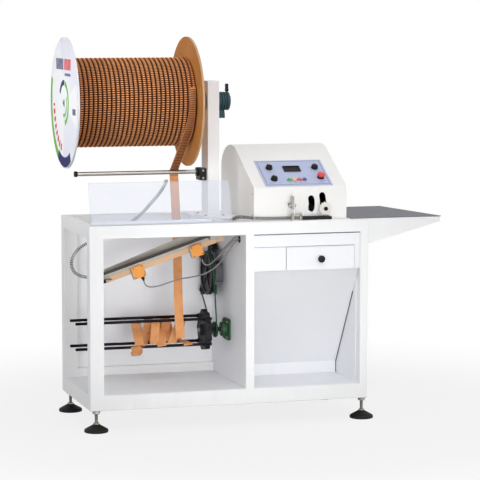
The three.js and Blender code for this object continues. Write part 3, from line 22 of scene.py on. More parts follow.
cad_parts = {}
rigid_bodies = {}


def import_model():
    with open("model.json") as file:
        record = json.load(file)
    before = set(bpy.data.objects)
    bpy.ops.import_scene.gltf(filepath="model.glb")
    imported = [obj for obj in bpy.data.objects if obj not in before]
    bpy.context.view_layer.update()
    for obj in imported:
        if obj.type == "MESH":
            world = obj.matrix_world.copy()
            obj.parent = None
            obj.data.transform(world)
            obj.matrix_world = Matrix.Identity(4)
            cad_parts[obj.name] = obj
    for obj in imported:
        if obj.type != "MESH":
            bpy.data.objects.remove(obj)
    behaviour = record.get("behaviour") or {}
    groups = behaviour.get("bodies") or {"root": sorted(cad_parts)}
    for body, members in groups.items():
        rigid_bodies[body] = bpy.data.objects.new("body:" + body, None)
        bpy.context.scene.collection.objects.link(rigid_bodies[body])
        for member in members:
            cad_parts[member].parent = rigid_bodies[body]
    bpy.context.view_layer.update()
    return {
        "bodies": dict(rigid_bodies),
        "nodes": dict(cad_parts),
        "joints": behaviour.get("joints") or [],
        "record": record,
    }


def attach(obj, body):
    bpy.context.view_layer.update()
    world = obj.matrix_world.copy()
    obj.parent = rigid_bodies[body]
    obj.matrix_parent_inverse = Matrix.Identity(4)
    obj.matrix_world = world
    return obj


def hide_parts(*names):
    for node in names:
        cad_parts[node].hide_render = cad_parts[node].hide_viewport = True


log = logging.getLogger("wire_cutting_machine")

Point = Sequence[float]
Flat = tuple[float, float]
Colour = tuple[float, float, float]

MIDDLE = Vector((741.5, 275.0, 0.0))
METRE = 1000.0

# Y and Z of the axes that run along X
SPOOL_AXIS = (275.0, 1341.0)
ROLLER_AXIS = (275.0, 1044.0)
REEL_AXIS = (275.0, 368.0)
DRIVE_AXIS = (385.0, 598.0)
TENSIONER_AXIS = (470.0, 515.0)

# X and Z of the swing arm's pivot, which runs along Y
SWING_AXIS = (868.0, 915.0)

# Height of the screw seats on the table top, left face of the partition and middle plane of the belt
TABLE_SEAT = 852.4
PARTITION_FACE = 664.0
BELT_PLANE = 607.0


class Axis(Enum):
    """The axis that a turned or drawn form follows."""

    X = 0
    Y = 1
    Z = 2

    def point(self, height: float, first: float, second: float) -> Vector:
        """A point from its height along this axis and its other two coordinates in their order."""
        spot = [first, second]
        spot.insert(self.value, height)
        return Vector(spot)


class Body(Enum):
    """The moving bodies of the machine, by their names in the record."""

    MACHINE = "machine"
    SPOOL = "spool"
    GUIDE_ROLLER = "guide_roller"
    DRIVE_PULLEY = "drive_pulley"
    TENSIONER = "tensioner_pulley"
    REEL = "reel"
    BRAKE_LEVER = "brake_lever"
    DRAWER = "drawer"
    SWING_ARM = "swing_arm"
    FEED_WHEEL = "feed_wheel"
    SPEED_KNOB = "speed_knob"
    LENGTH_KNOB = "length_knob"
    SELECTOR_KNOB = "selector_knob"
    GREEN_BUTTON = "green_button"
    AMBER_BUTTON = "amber_button"
    RED_BUTTON = "red_button"
    BLUE_BUTTON = "blue_button"
    EMERGENCY_BUTTON = "emergency_button"


# Shader expressions


@dataclass(frozen=True, eq=False)
class Signal:
    """One output of a shader's node, which takes part in sums and comparisons."""

    shader: Shader
    socket: bpy.types.NodeSocket

    def _math(self, operation: str, first: Signal | float, second: Signal | float = 0.0) -> Signal:
        """Adds one Math node and gives its output."""
        return self.shader.node("ShaderNodeMath", {"operation": operation}, {0: first, 1: second})

    def __add__(self, other: Signal | float) -> Signal:
        """Sum."""
        return self._math("ADD", self, other)

    __radd__ = __add__

    def __sub__(self, other: Signal | float) -> Signal:
        """Difference."""
        return self._math("SUBTRACT", self, other)

    def __rsub__(self, other: Signal | float) -> Signal:
        """Difference from a number."""
        return self._math("SUBTRACT", other, self)

    def __mul__(self, other: Signal | float) -> Signal:
        """Product."""
        return self._math("MULTIPLY", self, other)

    __rmul__ = __mul__

    def __truediv__(self, other: Signal | float) -> Signal:
        """Quotient."""
        return self._math("DIVIDE", self, other)

    def __rtruediv__(self, other: Signal | float) -> Signal:
        """Quotient of a number by this."""
        return self._math("DIVIDE", other, self)

    def __gt__(self, other: Signal | float) -> Signal:
        """1 where this is more than the other."""
        return self._math("GREATER_THAN", self, other)

    def __lt__(self, other: Signal | float) -> Signal:
        """1 where this is less than the other."""
        return self._math("LESS_THAN", self, other)

    def sine(self) -> Signal:
        """Sine of the value in radians."""
        return self._math("SINE", self)

    def root(self) -> Signal:
        """Square root."""
        return self._math("SQRT", self)

    def size(self) -> Signal:
        """Value without its sign."""
        return self._math("ABSOLUTE", self)

    def fraction(self) -> Signal:
        """What is left above the whole number below."""
        return self._math("FRACT", self)

    def angle_to(self, other: Signal) -> Signal:
        """Angle of the point (other, self) in radians."""
        return self._math("ARCTAN2", self, other)

    def output(self, name: str | int) -> Signal:
        """Another output of the same node."""
        return Signal(self.shader, self.socket.node.outputs[name])

    def rise(self, low: float, high: float) -> Signal:
        """Smooth step from 0 to 1 between two values; it falls where low is above high."""
        ends = {"Value": self, "From Min": low, "From Max": high}
        return self.shader.node("ShaderNodeMapRange", {"interpolation_type": "SMOOTHSTEP"}, ends)

    def between(self, low: float, high: float, soft: float) -> Signal:
        """1 inside an interval with soft ends."""
        return self.rise(low - soft, low + soft) * self.rise(high + soft, high - soft)


class Shader:
    """The nodes of one material or of the world."""

    def __init__(self, owner: bpy.types.ID, ending: str = "ShaderNodeOutputMaterial") -> None:
        """Clears the owner's nodes and adds the last one.

        Args:
            owner: The material or the world.
            ending: The last node's type.
        """
        owner.use_nodes = True
        self.tree = owner.node_tree
        self.tree.nodes.clear()
        self.ending = self.tree.nodes.new(ending)

    def node(self, kind: str, settings: dict | None = None, inputs: dict | None = None) -> Signal:
        """Adds a node.

        Args:
            kind: The node's type.
            settings: Its own settings, which are set first.
            inputs: Values or signals by socket name or number.

        Returns:
            The node's first output.
        """
        made = self.tree.nodes.new(kind)
        for name, value in (settings or {}).items():
            setattr(made, name, value)
        for name, value in (inputs or {}).items():
            if isinstance(value, Signal):
                self.tree.links.new(value.socket, made.inputs[name])
            else:
                made.inputs[name].default_value = value
        return Signal(self, made.outputs[0])

    def close(self, last: Signal) -> None:
        """Links the finished shader to the last node."""
        self.tree.links.new(last.socket, self.ending.inputs[0])

    def coordinates(self, kind: str = "Object") -> Signal:
        """The point on the machine at rest in metres, or the place along a swept piece as "UV"."""
        return self.node("ShaderNodeTexCoord").output(kind)

    def split(self, vector: Signal) -> tuple[Signal, Signal, Signal]:
        """The three parts of a vector."""
        made = self.node("ShaderNodeSeparateXYZ", None, {0: vector})
        return made, made.output(1), made.output(2)

    def stretched(self, vector: Signal, stretch: Point) -> Signal:
        """A vector with each part multiplied by a number."""
        return self.node("ShaderNodeVectorMath", {"operation": "MULTIPLY"}, {0: vector, 1: tuple(stretch)})

    def noise(self, vector: Signal, scale: float, detail: float = 3.0) -> Signal:
        """Smooth noise from 0 to 1, with about so many grains per metre and some finer layers."""
        return self.node("ShaderNodeTexNoise", None, {"Vector": vector, "Scale": scale, "Detail": detail})

    def mix(self, factor: Signal | float, first: Signal | Colour, second: Signal | Colour) -> Signal:
        """Mixes two colours.

        Args:
            factor: Share of the second colour.
            first: The first colour.
            second: The second colour.

        Returns:
            The mixed colour.
        """
        values = {0: factor}
        for number, colour in ((6, first), (7, second)):
            values[number] = colour if isinstance(colour, Signal) else (*colour, 1.0)
        return self.node("ShaderNodeMix", {"data_type": "RGBA"}, values).output(2)

    def bump(self, height: Signal, distance: float, strength: float = 1.0) -> Signal:
        """A normal that follows a height, with the distance in metres."""
        values = {"Height": height, "Distance": distance, "Strength": strength}
        return self.node("ShaderNodeBump", None, values)

    def surface(self, **inputs: Signal | float | tuple) -> None:
        """Ends the material in a Principled shader; a socket's name has _ for each space."""
        values = {name.replace("_", " "): value for name, value in inputs.items()}
        self.close(self.node("ShaderNodeBsdfPrincipled", None, values))


def linear(red: float, green: float, blue: float) -> Colour:
    """Turns a screen colour of 0 to 255 into light values."""
    shares = (red / 255, green / 255, blue / 255)
    return tuple(((c + 0.055) / 1.055) ** 2.4 if c > 0.04 else c / 12.92 for c in shares)


# Finishes


@dataclass(frozen=True)
class Finish:
    """A surface finish with its colour and gloss; by itself a plain moulded or coated surface."""

    name: str
    colour: Colour
    slot: str
    roughness: float = 0.45
    gloss: float = 0.4

    def material(self) -> bpy.types.Material:
        """The finish's material, made at its first use."""
        found = bpy.data.materials.get(self.name)
        if found is None:
            found = bpy.data.materials.new(self.name)
            self.dress(Shader(found))
        return found

    def toned(self, share: float) -> Colour:
        """The finish's colour, darker or lighter by a share."""
        return tuple(min(1.0, c * share) for c in self.colour)

    def coat(self, shader: Shader, colour: Signal, roughness: Signal, normal: Signal) -> None:
        """Ends the material with its colour, roughness, normal and the finish's own gloss."""
        shader.surface(Base_Color=colour, Roughness=roughness, Normal=normal, Specular_IOR_Level=self.gloss)

    def dress(self, shader: Shader) -> None:
        """Builds faint unevenness."""
        place = shader.coordinates()
        cloud = shader.noise(place, 35.0)
        colour = shader.mix(cloud, self.toned(0.86), self.colour)
        grain = shader.noise(place, 1400.0, 2.0)
        self.coat(shader, colour, cloud * 0.12 + (self.roughness - 0.06), shader.bump(grain, 0.00012, 0.5))


@dataclass(frozen=True)
class PowderCoat(Finish):
    """Paint baked on steel: a fine orange peel, faint clouds and some dust low down."""

    dust: float = 0.10
    peel: float = 0.35
    dirt: Colour = linear(150, 146, 138)

    def dress(self, shader: Shader) -> None:
        """Builds the paint."""
        place = shader.coordinates()
        _, _, height = shader.split(place)
        cloud = shader.noise(place, 5.0, 4.0)
        smear = shader.noise(shader.stretched(place, (1.0, 1.0, 0.2)), 26.0, 4.0)
        low = height.rise(0.30, 0.09) * smear * self.dust
        clean = shader.mix(cloud * 0.5, self.colour, self.toned(0.93))
        worn = shader.mix(low + smear.rise(0.62, 0.8) * 0.05, clean, self.dirt)
        peel = shader.bump(shader.noise(place, 620.0, 1.0), 0.0002, self.peel)
        self.coat(shader, worn, smear * 0.16 + (self.roughness - 0.08), peel)


@dataclass(frozen=True)
class HammerPaint(Finish):
    """Grey hammered paint with small cells."""

    bare: Colour = linear(185, 184, 188)

    def dress(self, shader: Shader) -> None:
        """Builds the cells and a worn, lighter working surface."""
        place = shader.coordinates()
        values = {"Vector": place, "Scale": 260.0}
        cells = shader.node("ShaderNodeTexVoronoi", {"feature": "SMOOTH_F1"}, values)
        worn = shader.noise(shader.stretched(place, (0.5, 2.0, 1.0)), 14.0, 5.0)
        paint = shader.mix(cells, self.toned(0.82), self.toned(1.18))
        colour = shader.mix(worn.rise(0.55, 0.75) * 0.18, paint, self.bare)
        self.coat(shader, colour, worn * 0.2 + (self.roughness - 0.1), shader.bump(cells, 0.0004, 0.55))


@dataclass(frozen=True)
class BareMetal(Finish):
    """Bare or plated metal with its grain along one direction."""

    grain: tuple[float, float, float] = (1.0, 1.0, 1.0)
    stain: float = 0.25
    metal: float = 1.0

    def dress(self, shader: Shader) -> None:
        """Builds the drawn grain and light staining."""
        place = shader.coordinates()
        lines = shader.noise(shader.stretched(place, self.grain), 420.0, 3.0)
        stain = shader.noise(place, 30.0, 5.0)
        shader.surface(
            Base_Color=shader.mix(stain * self.stain, self.colour, self.toned(0.55)),
            Metallic=self.metal,
            Roughness=lines * 0.16 + stain * 0.1 + (self.roughness - 0.12),
            Normal=shader.bump(lines, 0.00006, 0.4),
        )


@dataclass(frozen=True)
class CastIron(Finish):
    """Painted casting with a coarse skin."""

    def dress(self, shader: Shader) -> None:
        """Builds the rough skin and a little oil."""
        place = shader.coordinates()
        skin = shader.noise(place, 330.0, 4.0)
        oil = shader.noise(place, 24.0, 4.0)
        colour = shader.mix(oil.rise(0.4, 0.7) * 0.55, self.colour, self.toned(0.35))
        self.coat(shader, colour, oil * -0.25 + (self.roughness + 0.15), shader.bump(skin, 0.0007, 0.55))


@dataclass(frozen=True)
class Hardboard(Finish):
    """Pressed brown board with short fibres and worn lighter patches."""

    worn: Colour = (0.42, 0.2, 0.07)

    def dress(self, shader: Shader) -> None:
        """Builds fibres, blotches and fine scuffs."""
        place = shader.coordinates()
        fibre = shader.noise(shader.stretched(place, (1.0, 0.45, 2.2)), 300.0, 4.0)
        blotch = shader.noise(place, 7.0, 5.0)
        board = shader.mix(blotch.rise(0.35, 0.7), self.colour, self.worn)
        colour = shader.mix(fibre * 0.4, board, self.toned(0.6))
        self.coat(shader, colour, fibre * 0.2 + (self.roughness - 0.1), shader.bump(fibre, 0.0003, 0.5))


@dataclass(frozen=True)
class PrintedBoard(Finish):
    """White label board with plain coloured arcs, rings and bars; its lengths are metres."""

    radius: float = 0.2715
    soft: float = 0.006
    green: Colour = linear(112, 180, 40)
    navy: Colour = linear(32, 30, 96)
    red: Colour = linear(218, 40, 56)
    lilac: Colour = linear(214, 214, 236)
    scuffed: Colour = linear(190, 186, 178)

    def dress(self, shader: Shader) -> None:
        """Paints the label in the order of its printing, then the scuffs."""
        _, back, height = shader.split(shader.coordinates())
        across = back * -1.0
        up = height - SPOOL_AXIS[1] / METRE
        reach = (across * across + up * up).root() / self.radius
        turn = up.angle_to(across) * (180.0 / math.pi)
        colour = self.bars(shader, across, up, self.arcs(shader, reach, turn))
        scuff = shader.noise(shader.coordinates(), 60.0, 5.0)
        colour = shader.mix(scuff.rise(0.55, 0.8) * 0.12, colour, self.scuffed)
        grain = shader.bump(shader.noise(shader.coordinates(), 500.0, 2.0), 0.0001, 0.4)
        self.coat(shader, colour, scuff * 0.2 + (self.roughness - 0.1), grain)

    def arcs(self, shader: Shader, reach: Signal, turn: Signal) -> Signal:
        """Paints what follows the label's radius.

        Args:
            shader: The material's shader.
            reach: Share of the label's radius.
            turn: Angle about its middle in degrees.

        Returns:
            The colour so far.
        """
        fan = (turn - 62.0).size().rise(46.0, 40.0) * reach.rise(0.3, 0.55)
        colour = shader.mix(fan * 0.4, self.colour, self.lilac)
        colour = shader.mix((turn + 58.0).size().rise(40.0, 34.0) * 0.4, colour, self.lilac)
        left = (turn.size() - 180.0).size()
        rim = reach.between(0.865, 0.985, self.soft)
        swoosh = left.rise(66.0, 64.0) * (turn < 0.0) + left.rise(24.0, 22.0) * (turn > 0.0)
        colour = shader.mix(rim * swoosh, colour, self.green)
        beads = reach.between(0.66, 0.77, self.soft) * ((turn * (math.pi / 5.0)).sine() > -0.4)
        colour = shader.mix(beads * (turn + 140.0).size().rise(38.0, 37.0), colour, self.red)
        for inner, outer, middle, half, fade, ink in (
            (0.83, 0.985, -90.0, 27.5, 1.5, self.navy),
            (0.27, 0.35, 0.0, 78.0, 2.0, self.green),
            (0.27, 0.35, 118.0, 34.0, 2.0, self.navy),
            (0.17, 0.22, -40.0, 68.0, 2.0, self.green),
        ):
            arc = reach.between(inner, outer, self.soft) * (turn - middle).size().rise(half + fade, half)
            colour = shader.mix(arc, colour, ink)
        return colour

    def bars(self, shader: Shader, across: Signal, up: Signal, colour: Signal) -> Signal:
        """Paints two rows of stripes, a line and a block.

        Args:
            shader: The material's shader.
            across: Distance to the front of the label's middle.
            up: Distance above it.
            colour: The colour so far.

        Returns:
            The colour with the bars.
        """
        stripes = (across * 250.0 + up * 60.0).sine() > -0.8
        for start, end, middle, half, fade, ink, share in (
            (-0.150, -0.006, 0.160, 0.022, 0.0015, self.navy, stripes),
            (0.012, 0.140, 0.160, 0.022, 0.0015, self.red, stripes),
            (0.02, 0.130, 0.118, 0.005, 0.0015, self.navy, 0.8),
            (0.165, 0.225, -0.030, 0.012, 0.001, self.navy, 0.85),
        ):
            bar = (up - middle).size().rise(half + fade, half) * across.between(start, end, 0.001)
            colour = shader.mix(bar * share, colour, ink)
        return colour


@dataclass(frozen=True)
class WoundWire(Finish):
    """Twin-loop wire lying in turns: bright rungs with painted light on each turn's crown over a ground of
    painted shade, by the distance along the turn.
    """

    rung: float = 9.2
    # dark is painted shade on the paper between rungs and turns; bright is the wire lit on the crown, a
    # painted highlight.
    dark: Colour = (0.055, 0.020, 0.010)
    bright: Colour = (0.24, 0.095, 0.046)

    def dress(self, shader: Shader) -> None:
        """Builds the rungs and the two rows of loop tips, with painted shade between the rungs and where
        turns meet.
        """
        run, around, _ = shader.split(shader.coordinates("UV"))
        tick = (run * (2 * math.pi / self.rung) - math.pi / 2).sine() * 0.5 + 0.5
        crown = around.between(0.16, 0.84, 0.12)
        rows = ((around - 0.5).size() * 21.0).sine().size()
        patch = shader.noise(shader.coordinates(), 22.0, 4.0)
        # glow is painted light: full on each turn's crown and its rungs, nothing in the painted shade between
        # them.
        glow = crown * (tick * 0.75 + 0.25) * (rows * 0.35 + 0.65) * (patch * 0.7 + 0.62)
        colour = shader.mix(crown * 0.1, shader.mix(glow, self.dark, self.bright), self.colour)
        relief = shader.bump(tick * (rows * 0.4 + 0.6), 0.0016, 0.8)
        self.coat(shader, colour, glow * -0.12 + (self.roughness - 0.08), relief)


@dataclass(frozen=True)
class WoundRung(Finish):
    """Wire rungs of the wound turns: painted light on each turn's crown and painted shade where two turns
    meet.
    """

    first: float = -24.2
    pitch: float = 19.0
    # shade is painted shade where two turns meet.
    shade: Colour = (0.095, 0.032, 0.015)

    def dress(self, shader: Shader) -> None:
        """Finds the place across the turn from the helix and paints light and shade by it."""
        place = shader.coordinates()
        along, back, height = shader.split(place)
        turn = (height - SPOOL_AXIS[1] / METRE).angle_to(back * -1.0) * (0.5 / math.pi)
        lane = ((along * METRE + (MIDDLE.x - self.first)) * (1.0 / self.pitch) - turn + 0.5).fraction() - 0.5
        crown = lane.size().rise(0.44, 0.16)
        patch = shader.noise(place, 24.0, 4.0)
        speck = shader.noise(place, 260.0, 2.0)
        # glow is painted light: full on the crown, nothing where two turns meet.
        glow = crown * (patch * 0.5 + 0.7) * (speck * 0.6 + 0.75)
        colour = shader.mix(glow, self.shade, self.colour)
        self.coat(shader, colour, speck * 0.2 + (self.roughness - 0.1), shader.bump(speck, 0.0002, 0.4))


@dataclass(frozen=True)
class Paper(Finish):
    """Brown wrapping paper with soft creases that are darkened as painted shade."""

    # shade is the paper's darker pulp tone and, in the creases, painted shade.
    shade: Colour = (0.42, 0.17, 0.06)

    def dress(self, shader: Shader) -> None:
        """Builds pulp and creases, with the creases darkened as painted shade."""
        place = shader.coordinates()
        pulp = shader.noise(place, 260.0, 4.0)
        crease = shader.noise(place, 34.0, 3.0)
        # The pulp varies the tone; the creases are darkened as painted shade.
        colour = shader.mix(pulp * 0.25 + crease.rise(0.4, 0.75) * 0.35, self.colour, self.shade)
        folds = shader.bump(crease + pulp * 0.15, 0.0012, 0.5)
        self.coat(shader, colour, pulp * 0.1 + (self.roughness - 0.05), folds)


@dataclass(frozen=True)
class ClearSheet(Finish):
    """Clear plastic sheet; its edges take a finish of their own."""

    gloss: float = 0.6
    opacity: float = 0.19

    def dress(self, shader: Shader) -> None:
        """Builds a thin haze with sharp reflections."""
        haze = shader.noise(shader.coordinates(), 9.0, 4.0)
        shader.surface(
            Base_Color=(*self.colour, 1.0),
            Roughness=haze * 0.06 + self.roughness,
            Alpha=haze * 0.06 + self.opacity,
            Specular_IOR_Level=self.gloss,
        )


@dataclass(frozen=True)
class Lens(Finish):
    """Coloured push button lens with a faint painted glow all over it, though no lamp lights it."""

    # glow is a painted glow: the lens emits its colour with no lamp behind it.
    glow: float = 0.12

    def dress(self, shader: Shader) -> None:
        """Builds the moulded lens."""
        speck = shader.noise(shader.coordinates(), 900.0, 2.0)
        shader.surface(
            Base_Color=shader.mix(speck * 0.3, self.colour, self.toned(0.7)),
            Roughness=self.roughness,
            # Painted glow of the lens's own colour.
            Emission_Color=(*self.colour, 1.0),
            Emission_Strength=self.glow,
            Coat_Weight=0.6,
            Normal=shader.bump(speck, 0.0001, 0.3),
        )


WHITE = PowderCoat("white_powder_coat", linear(240, 240, 240), "white_paint", 0.42)
SHEET_WHITE = PowderCoat("white_sheet_paint", linear(238, 239, 242), "white_paint", 0.48)
HEAD_WHITE = PowderCoat("head_enamel", linear(240, 239, 237), "white_paint", 0.36, dust=0.0, peel=0.2)
STEEL = BareMetal("turned_steel", linear(160, 160, 162), "steel", 0.36, grain=(0.2, 6.0, 6.0))
ZINC = BareMetal("zinc_plated_steel", linear(164, 160, 150), "steel", 0.38, stain=0.5)
CHROME = BareMetal("chrome_tube", linear(186, 182, 176), "chrome", 0.28, grain=(0.1, 8.0, 8.0), stain=0.35)
TROUGH_SHEET = BareMetal(
    "rolled_trough_sheet",
    linear(184, 178, 168),
    "grey_sheet",
    0.5,
    grain=(0.05, 7.0, 7.0),
    stain=0.5,
    metal=0.15,
)
BLACK_PLASTIC = Finish("black_moulding", linear(22, 22, 25), "black_plastic", 0.5, 0.22)
BLACK_RUBBER = Finish("black_foot_rubber", linear(20, 20, 22), "foot_black", 0.66, 0.25)
BLACK_STEEL = PowderCoat("black_enamel", linear(24, 24, 27), "black_steel", 0.42, 0.2, dust=0.0, peel=0.3)
BLACKENED = BareMetal("blackened_rod", linear(34, 32, 37), "black_steel", 0.4, grain=(0.1, 6.0, 6.0))
# Near black put on faces inside the head housing as painted shade where no light reaches.
PAINTED_SHADE_INSIDE = Finish("unlit_inside", linear(10, 10, 12), "black_steel", 0.9, 0.05)
TEAL_CAST = CastIron("teal_brake_casting", linear(44, 74, 80), "teal_paint", 0.45, 0.3)
GREEN_CAST = CastIron("green_bearing_casting", linear(34, 78, 44), "green_paint", 0.45, 0.3)
MOTOR_GREY = CastIron("motor_casting", linear(96, 96, 106), "black_steel", 0.4)
BOARD = Hardboard(
    "brown_hardboard", linear(196, 130, 66), "brown_board", 0.7, 0.15, worn=linear(210, 144, 78)
)
BOARD_EDGE = Hardboard(
    "pale_board_edge", linear(196, 158, 118), "brown_board", 0.7, 0.2, worn=linear(216, 184, 146)
)
CORE_BOARD = Hardboard("dark_core", linear(52, 28, 16), "brown_board", 0.8, 0.1, worn=linear(64, 36, 22))
LABEL = PrintedBoard("printed_flange_label", linear(243, 243, 246), "printed_board", 0.5, 0.04)
LABEL_EDGE = Finish("white_label_edge", linear(226, 226, 230), "printed_board", 0.6)
WOUND_WIRE = WoundWire("wound_twin_loop_wire", linear(120, 66, 40), "wire_paper", 0.7, 0.02)
PAPER = Paper("wrapping_paper", linear(226, 160, 106), "paper", 0.75, 0.2, shade=linear(188, 122, 74))
WIRE_RUNG = WoundRung("bronze_wire", linear(234, 162, 108), "wire_paper", 0.55, 0.02)
STRIP_WIRE = BareMetal("bronze_wire_on_paper", linear(112, 54, 30), "wire_paper", 0.42, stain=0.5, metal=0.3)
LOOP_WIRE = BareMetal("twin_loop_wire", linear(30, 29, 34), "steel", 0.5, metal=0.2)
CLEAR = ClearSheet("clear_guard", linear(214, 220, 236), "acrylic", 0.05)
CLEAR_EDGE = ClearSheet("guard_edge", linear(196, 208, 214), "acrylic", 0.2, opacity=0.62)
LAMINATE = Hardboard(
    "brown_laminate", linear(190, 132, 92), "brown_laminate", 0.55, 0.3, worn=linear(206, 150, 108)
)
ORANGE = Finish("orange_sensor_moulding", linear(238, 156, 62), "orange_plastic", 0.45)
CABLE_GREY = Finish("grey_cable_sheath", linear(138, 136, 134), "grey_cable", 0.5)
BELT_GREEN = Finish("green_round_belt", linear(28, 92, 54), "green_belt", 0.5, 0.25)
PANEL_BLUE = PowderCoat("panel_print", linear(181, 190, 219), "panel_blue", 0.4, dust=0.0, peel=0.12)
PANEL_LINE = Finish("panel_border_ink", linear(48, 54, 92), "panel_blue", 0.4)
PANEL_WHITE = Finish("panel_white_ink", linear(236, 238, 244), "panel_blue", 0.4)
DISPLAY = Finish("display_window", linear(14, 12, 18), "black_plastic", 0.3, 0.12)
DIGIT = Finish("unlit_digit", linear(58, 22, 24), "black_plastic", 0.3, 0.2)
WING_GREY = HammerPaint("hammered_grey", linear(118, 118, 124), "wing_grey", 0.5, 0.06)
NYLON = Finish("white_nylon", linear(234, 231, 222), "nylon", 0.45)
GREEN_LENS = Lens("green_lens", linear(46, 158, 84), "green_button", 0.25)
AMBER_LENS = Lens("amber_lens", linear(246, 178, 96), "amber_button", 0.25)
RED_LENS = Lens("red_lens", linear(206, 62, 54), "red_button", 0.25)
BLUE_LENS = Lens("blue_lens", linear(44, 62, 150), "blue_button", 0.25)
# The stop head, which holds no lamp, has a fainter painted glow.
STOP_RED = Lens("red_stop_head", linear(216, 44, 38), "red_button", 0.3, glow=0.02)


# Mesh making


def round_points(middle: Flat, radius: float, turns: Sequence[float]) -> list[Flat]:
    """Points on a circle in a plane, by their angles."""
    return [(middle[0] + radius * math.cos(t), middle[1] + radius * math.sin(t)) for t in turns]


def circle(middle: Flat, radius: float, count: int) -> list[Flat]:
    """Evenly spaced points of a whole circle in a plane."""
    return round_points(middle, radius, [2 * math.pi * k / count for k in range(count)])


class Shape:
    """A mesh in the table's millimetres that grows by swept, turned and drawn forms."""

    def __init__(self) -> None:
        """Starts an empty shape."""
        self.corners: list[Vector] = []
        self.faces: list[tuple[int, ...]] = []
        self.paints: list[int] = []
        self.marks: list[Flat] = []
        self.paint = 0

    def painted(self, paint: int) -> Shape:
        """Gives what follows the finish of that number."""
        self.paint = paint
        return self

    def face(self, corners: Sequence[int]) -> None:
        """Adds one face with the current paint."""
        self.faces.append(tuple(corners))
        self.paints.append(self.paint)

    def points(self, corners: Sequence[Vector], marks: Sequence[Flat] | None = None) -> int:
        """Adds corners with their surface coordinates and gives the number of the first one."""
        first = len(self.corners)
        self.corners.extend(corners)
        self.marks.extend(marks or [(0.0, 0.0)] * len(corners))
        return first

    def skin(
        self,
        rings: Sequence[Sequence[Vector]],
        loops: bool = False,
        marks: Sequence[Sequence[Flat]] | None = None,
    ) -> Shape:
        """Joins rings of points with faces, and closes both ends unless the last ring meets the first.

        Args:
            rings: The rings, each with as many points.
            loops: True where the last ring meets the first.
            marks: Surface coordinates for each point.

        Returns:
            This shape.
        """
        sides = len(rings[0])
        starts = [self.points(ring, marks[number] if marks else None) for number, ring in enumerate(rings)]
        for here, there in zip(starts, starts[1:] + starts[:1] if loops else starts[1:]):
            for k in range(sides):
                j = (k + 1) % sides
                self.face((here + k, there + k, there + j, here + j))
        if not loops:
            for end in (starts[0], starts[-1]):
                self.face(range(end, end + sides))
        return self

    def turned(
        self,
        axis: Axis,
        centre: Point,
        profile: Sequence[Flat],
        segments: int = 40,
        flutes: Callable[[float, float], float] | None = None,
    ) -> Shape:
        """Turns a profile of radius and height about an axis.

        A profile that starts and ends at one radius makes a ring with a bore of that radius.

        Args:
            axis: The axis.
            centre: A point on it, where the height is zero.
            profile: Pairs of radius and height along the axis.
            segments: Points round the axis.
            flutes: Optional factor on the radius by angle and height.

        Returns:
            This shape.
        """
        rings = []
        for radius, height in profile:
            ring = []
            for k in range(segments):
                turn = 2 * math.pi * k / segments
                reach = radius * (flutes(turn, height) if flutes else 1.0)
                spot = axis.point(height, reach * math.cos(turn), reach * math.sin(turn))
                ring.append(Vector(centre) + spot)
            rings.append(ring)
        return self.skin(rings, loops=profile[0][0] == profile[-1][0] > 0)

    def block(self, low: Point, high: Point) -> Shape:
        """Adds a block between two corners; the piece's bevel rounds it."""
        outline = [(low[0], low[1]), (high[0], low[1]), (high[0], high[1]), (low[0], high[1])]
        return self.drawn(Axis.Z, outline, low[2], high[2])

    def drawn(self, axis: Axis, outline: Sequence[Flat], start: float, end: float) -> Shape:
        """Draws an outline in the other two coordinates along an axis, from start to end."""
        return self.skin([[axis.point(height, *spot) for spot in outline] for height in (start, end)])

    def plate(
        self, axis: Axis, outline: Sequence[Flat], holes: Sequence[Sequence[Flat]], start: float, end: float
    ) -> Shape:
        """Adds a flat plate with holes.

        Args:
            axis: The direction through the plate.
            outline: Its outline in the other two coordinates.
            holes: The outlines of its holes.
            start: Its first face along the axis.
            end: Its second face.

        Returns:
            This shape.
        """
        rings = [outline, *holes]
        flat = [point for ring in rings for point in ring]
        triangles = tessellate_polygon([[Vector((*point, 0.0)) for point in ring] for ring in rings])
        near, far = (self.points([axis.point(height, *point) for point in flat]) for height in (start, end))
        for base in (near, far):
            for triangle in triangles:
                self.face([base + k for k in triangle])
        first = 0
        for ring in rings:
            for k in range(first, first + len(ring)):
                j = k + 1 if k + 1 < first + len(ring) else first
                self.face((near + k, near + j, far + j, far + k))
            first += len(ring)
        return self

    def tube(self, path: Sequence[Vector], radius: float, sides: int = 10, loops: bool = False) -> Shape:
        """Sweeps a round section along a path.

        Args:
            path: The path's points.
            radius: The section's radius.
            sides: Points round the section.
            loops: True where the path closes.

        Returns:
            This shape.
        """
        section = circle((0.0, 0.0), radius, sides)
        frames = carried(path, loops)
        rings = [[point + side * a + up * b for a, b in section] for point, (side, up) in zip(path, frames)]
        return self.skin(rings, loops)

    def mapped(self, rule: Callable[[Vector], Vector]) -> Shape:
        """Moves every corner by a rule."""
        self.corners = [rule(corner) for corner in self.corners]
        return self

    def joined(self, other: Shape) -> Shape:
        """Adds another shape with its paints."""
        base = self.points(other.corners, other.marks)
        self.faces.extend(tuple(base + k for k in face) for face in other.faces)
        self.paints.extend(other.paints)
        return self


def carried(path: Sequence[Vector], loops: bool = False) -> list[tuple[Vector, Vector]]:
    """Two directions across a path at each of its points, carried along it without twist.

    Args:
        path: The path's points.
        loops: True where the path closes.

    Returns:
        Pairs of directions.
    """
    count = len(path)
    frames: list[tuple[Vector, Vector]] = []
    side: Vector | None = None
    for i in range(count):
        before = path[(i - 1) % count] if loops or i > 0 else path[i]
        after = path[(i + 1) % count] if loops or i < count - 1 else path[i]
        along = (after - before).normalized()
        if side is None:
            side = along.orthogonal().normalized()
        side = (side - along * side.dot(along)).normalized()
        frames.append((side, along.cross(side)))
    return frames


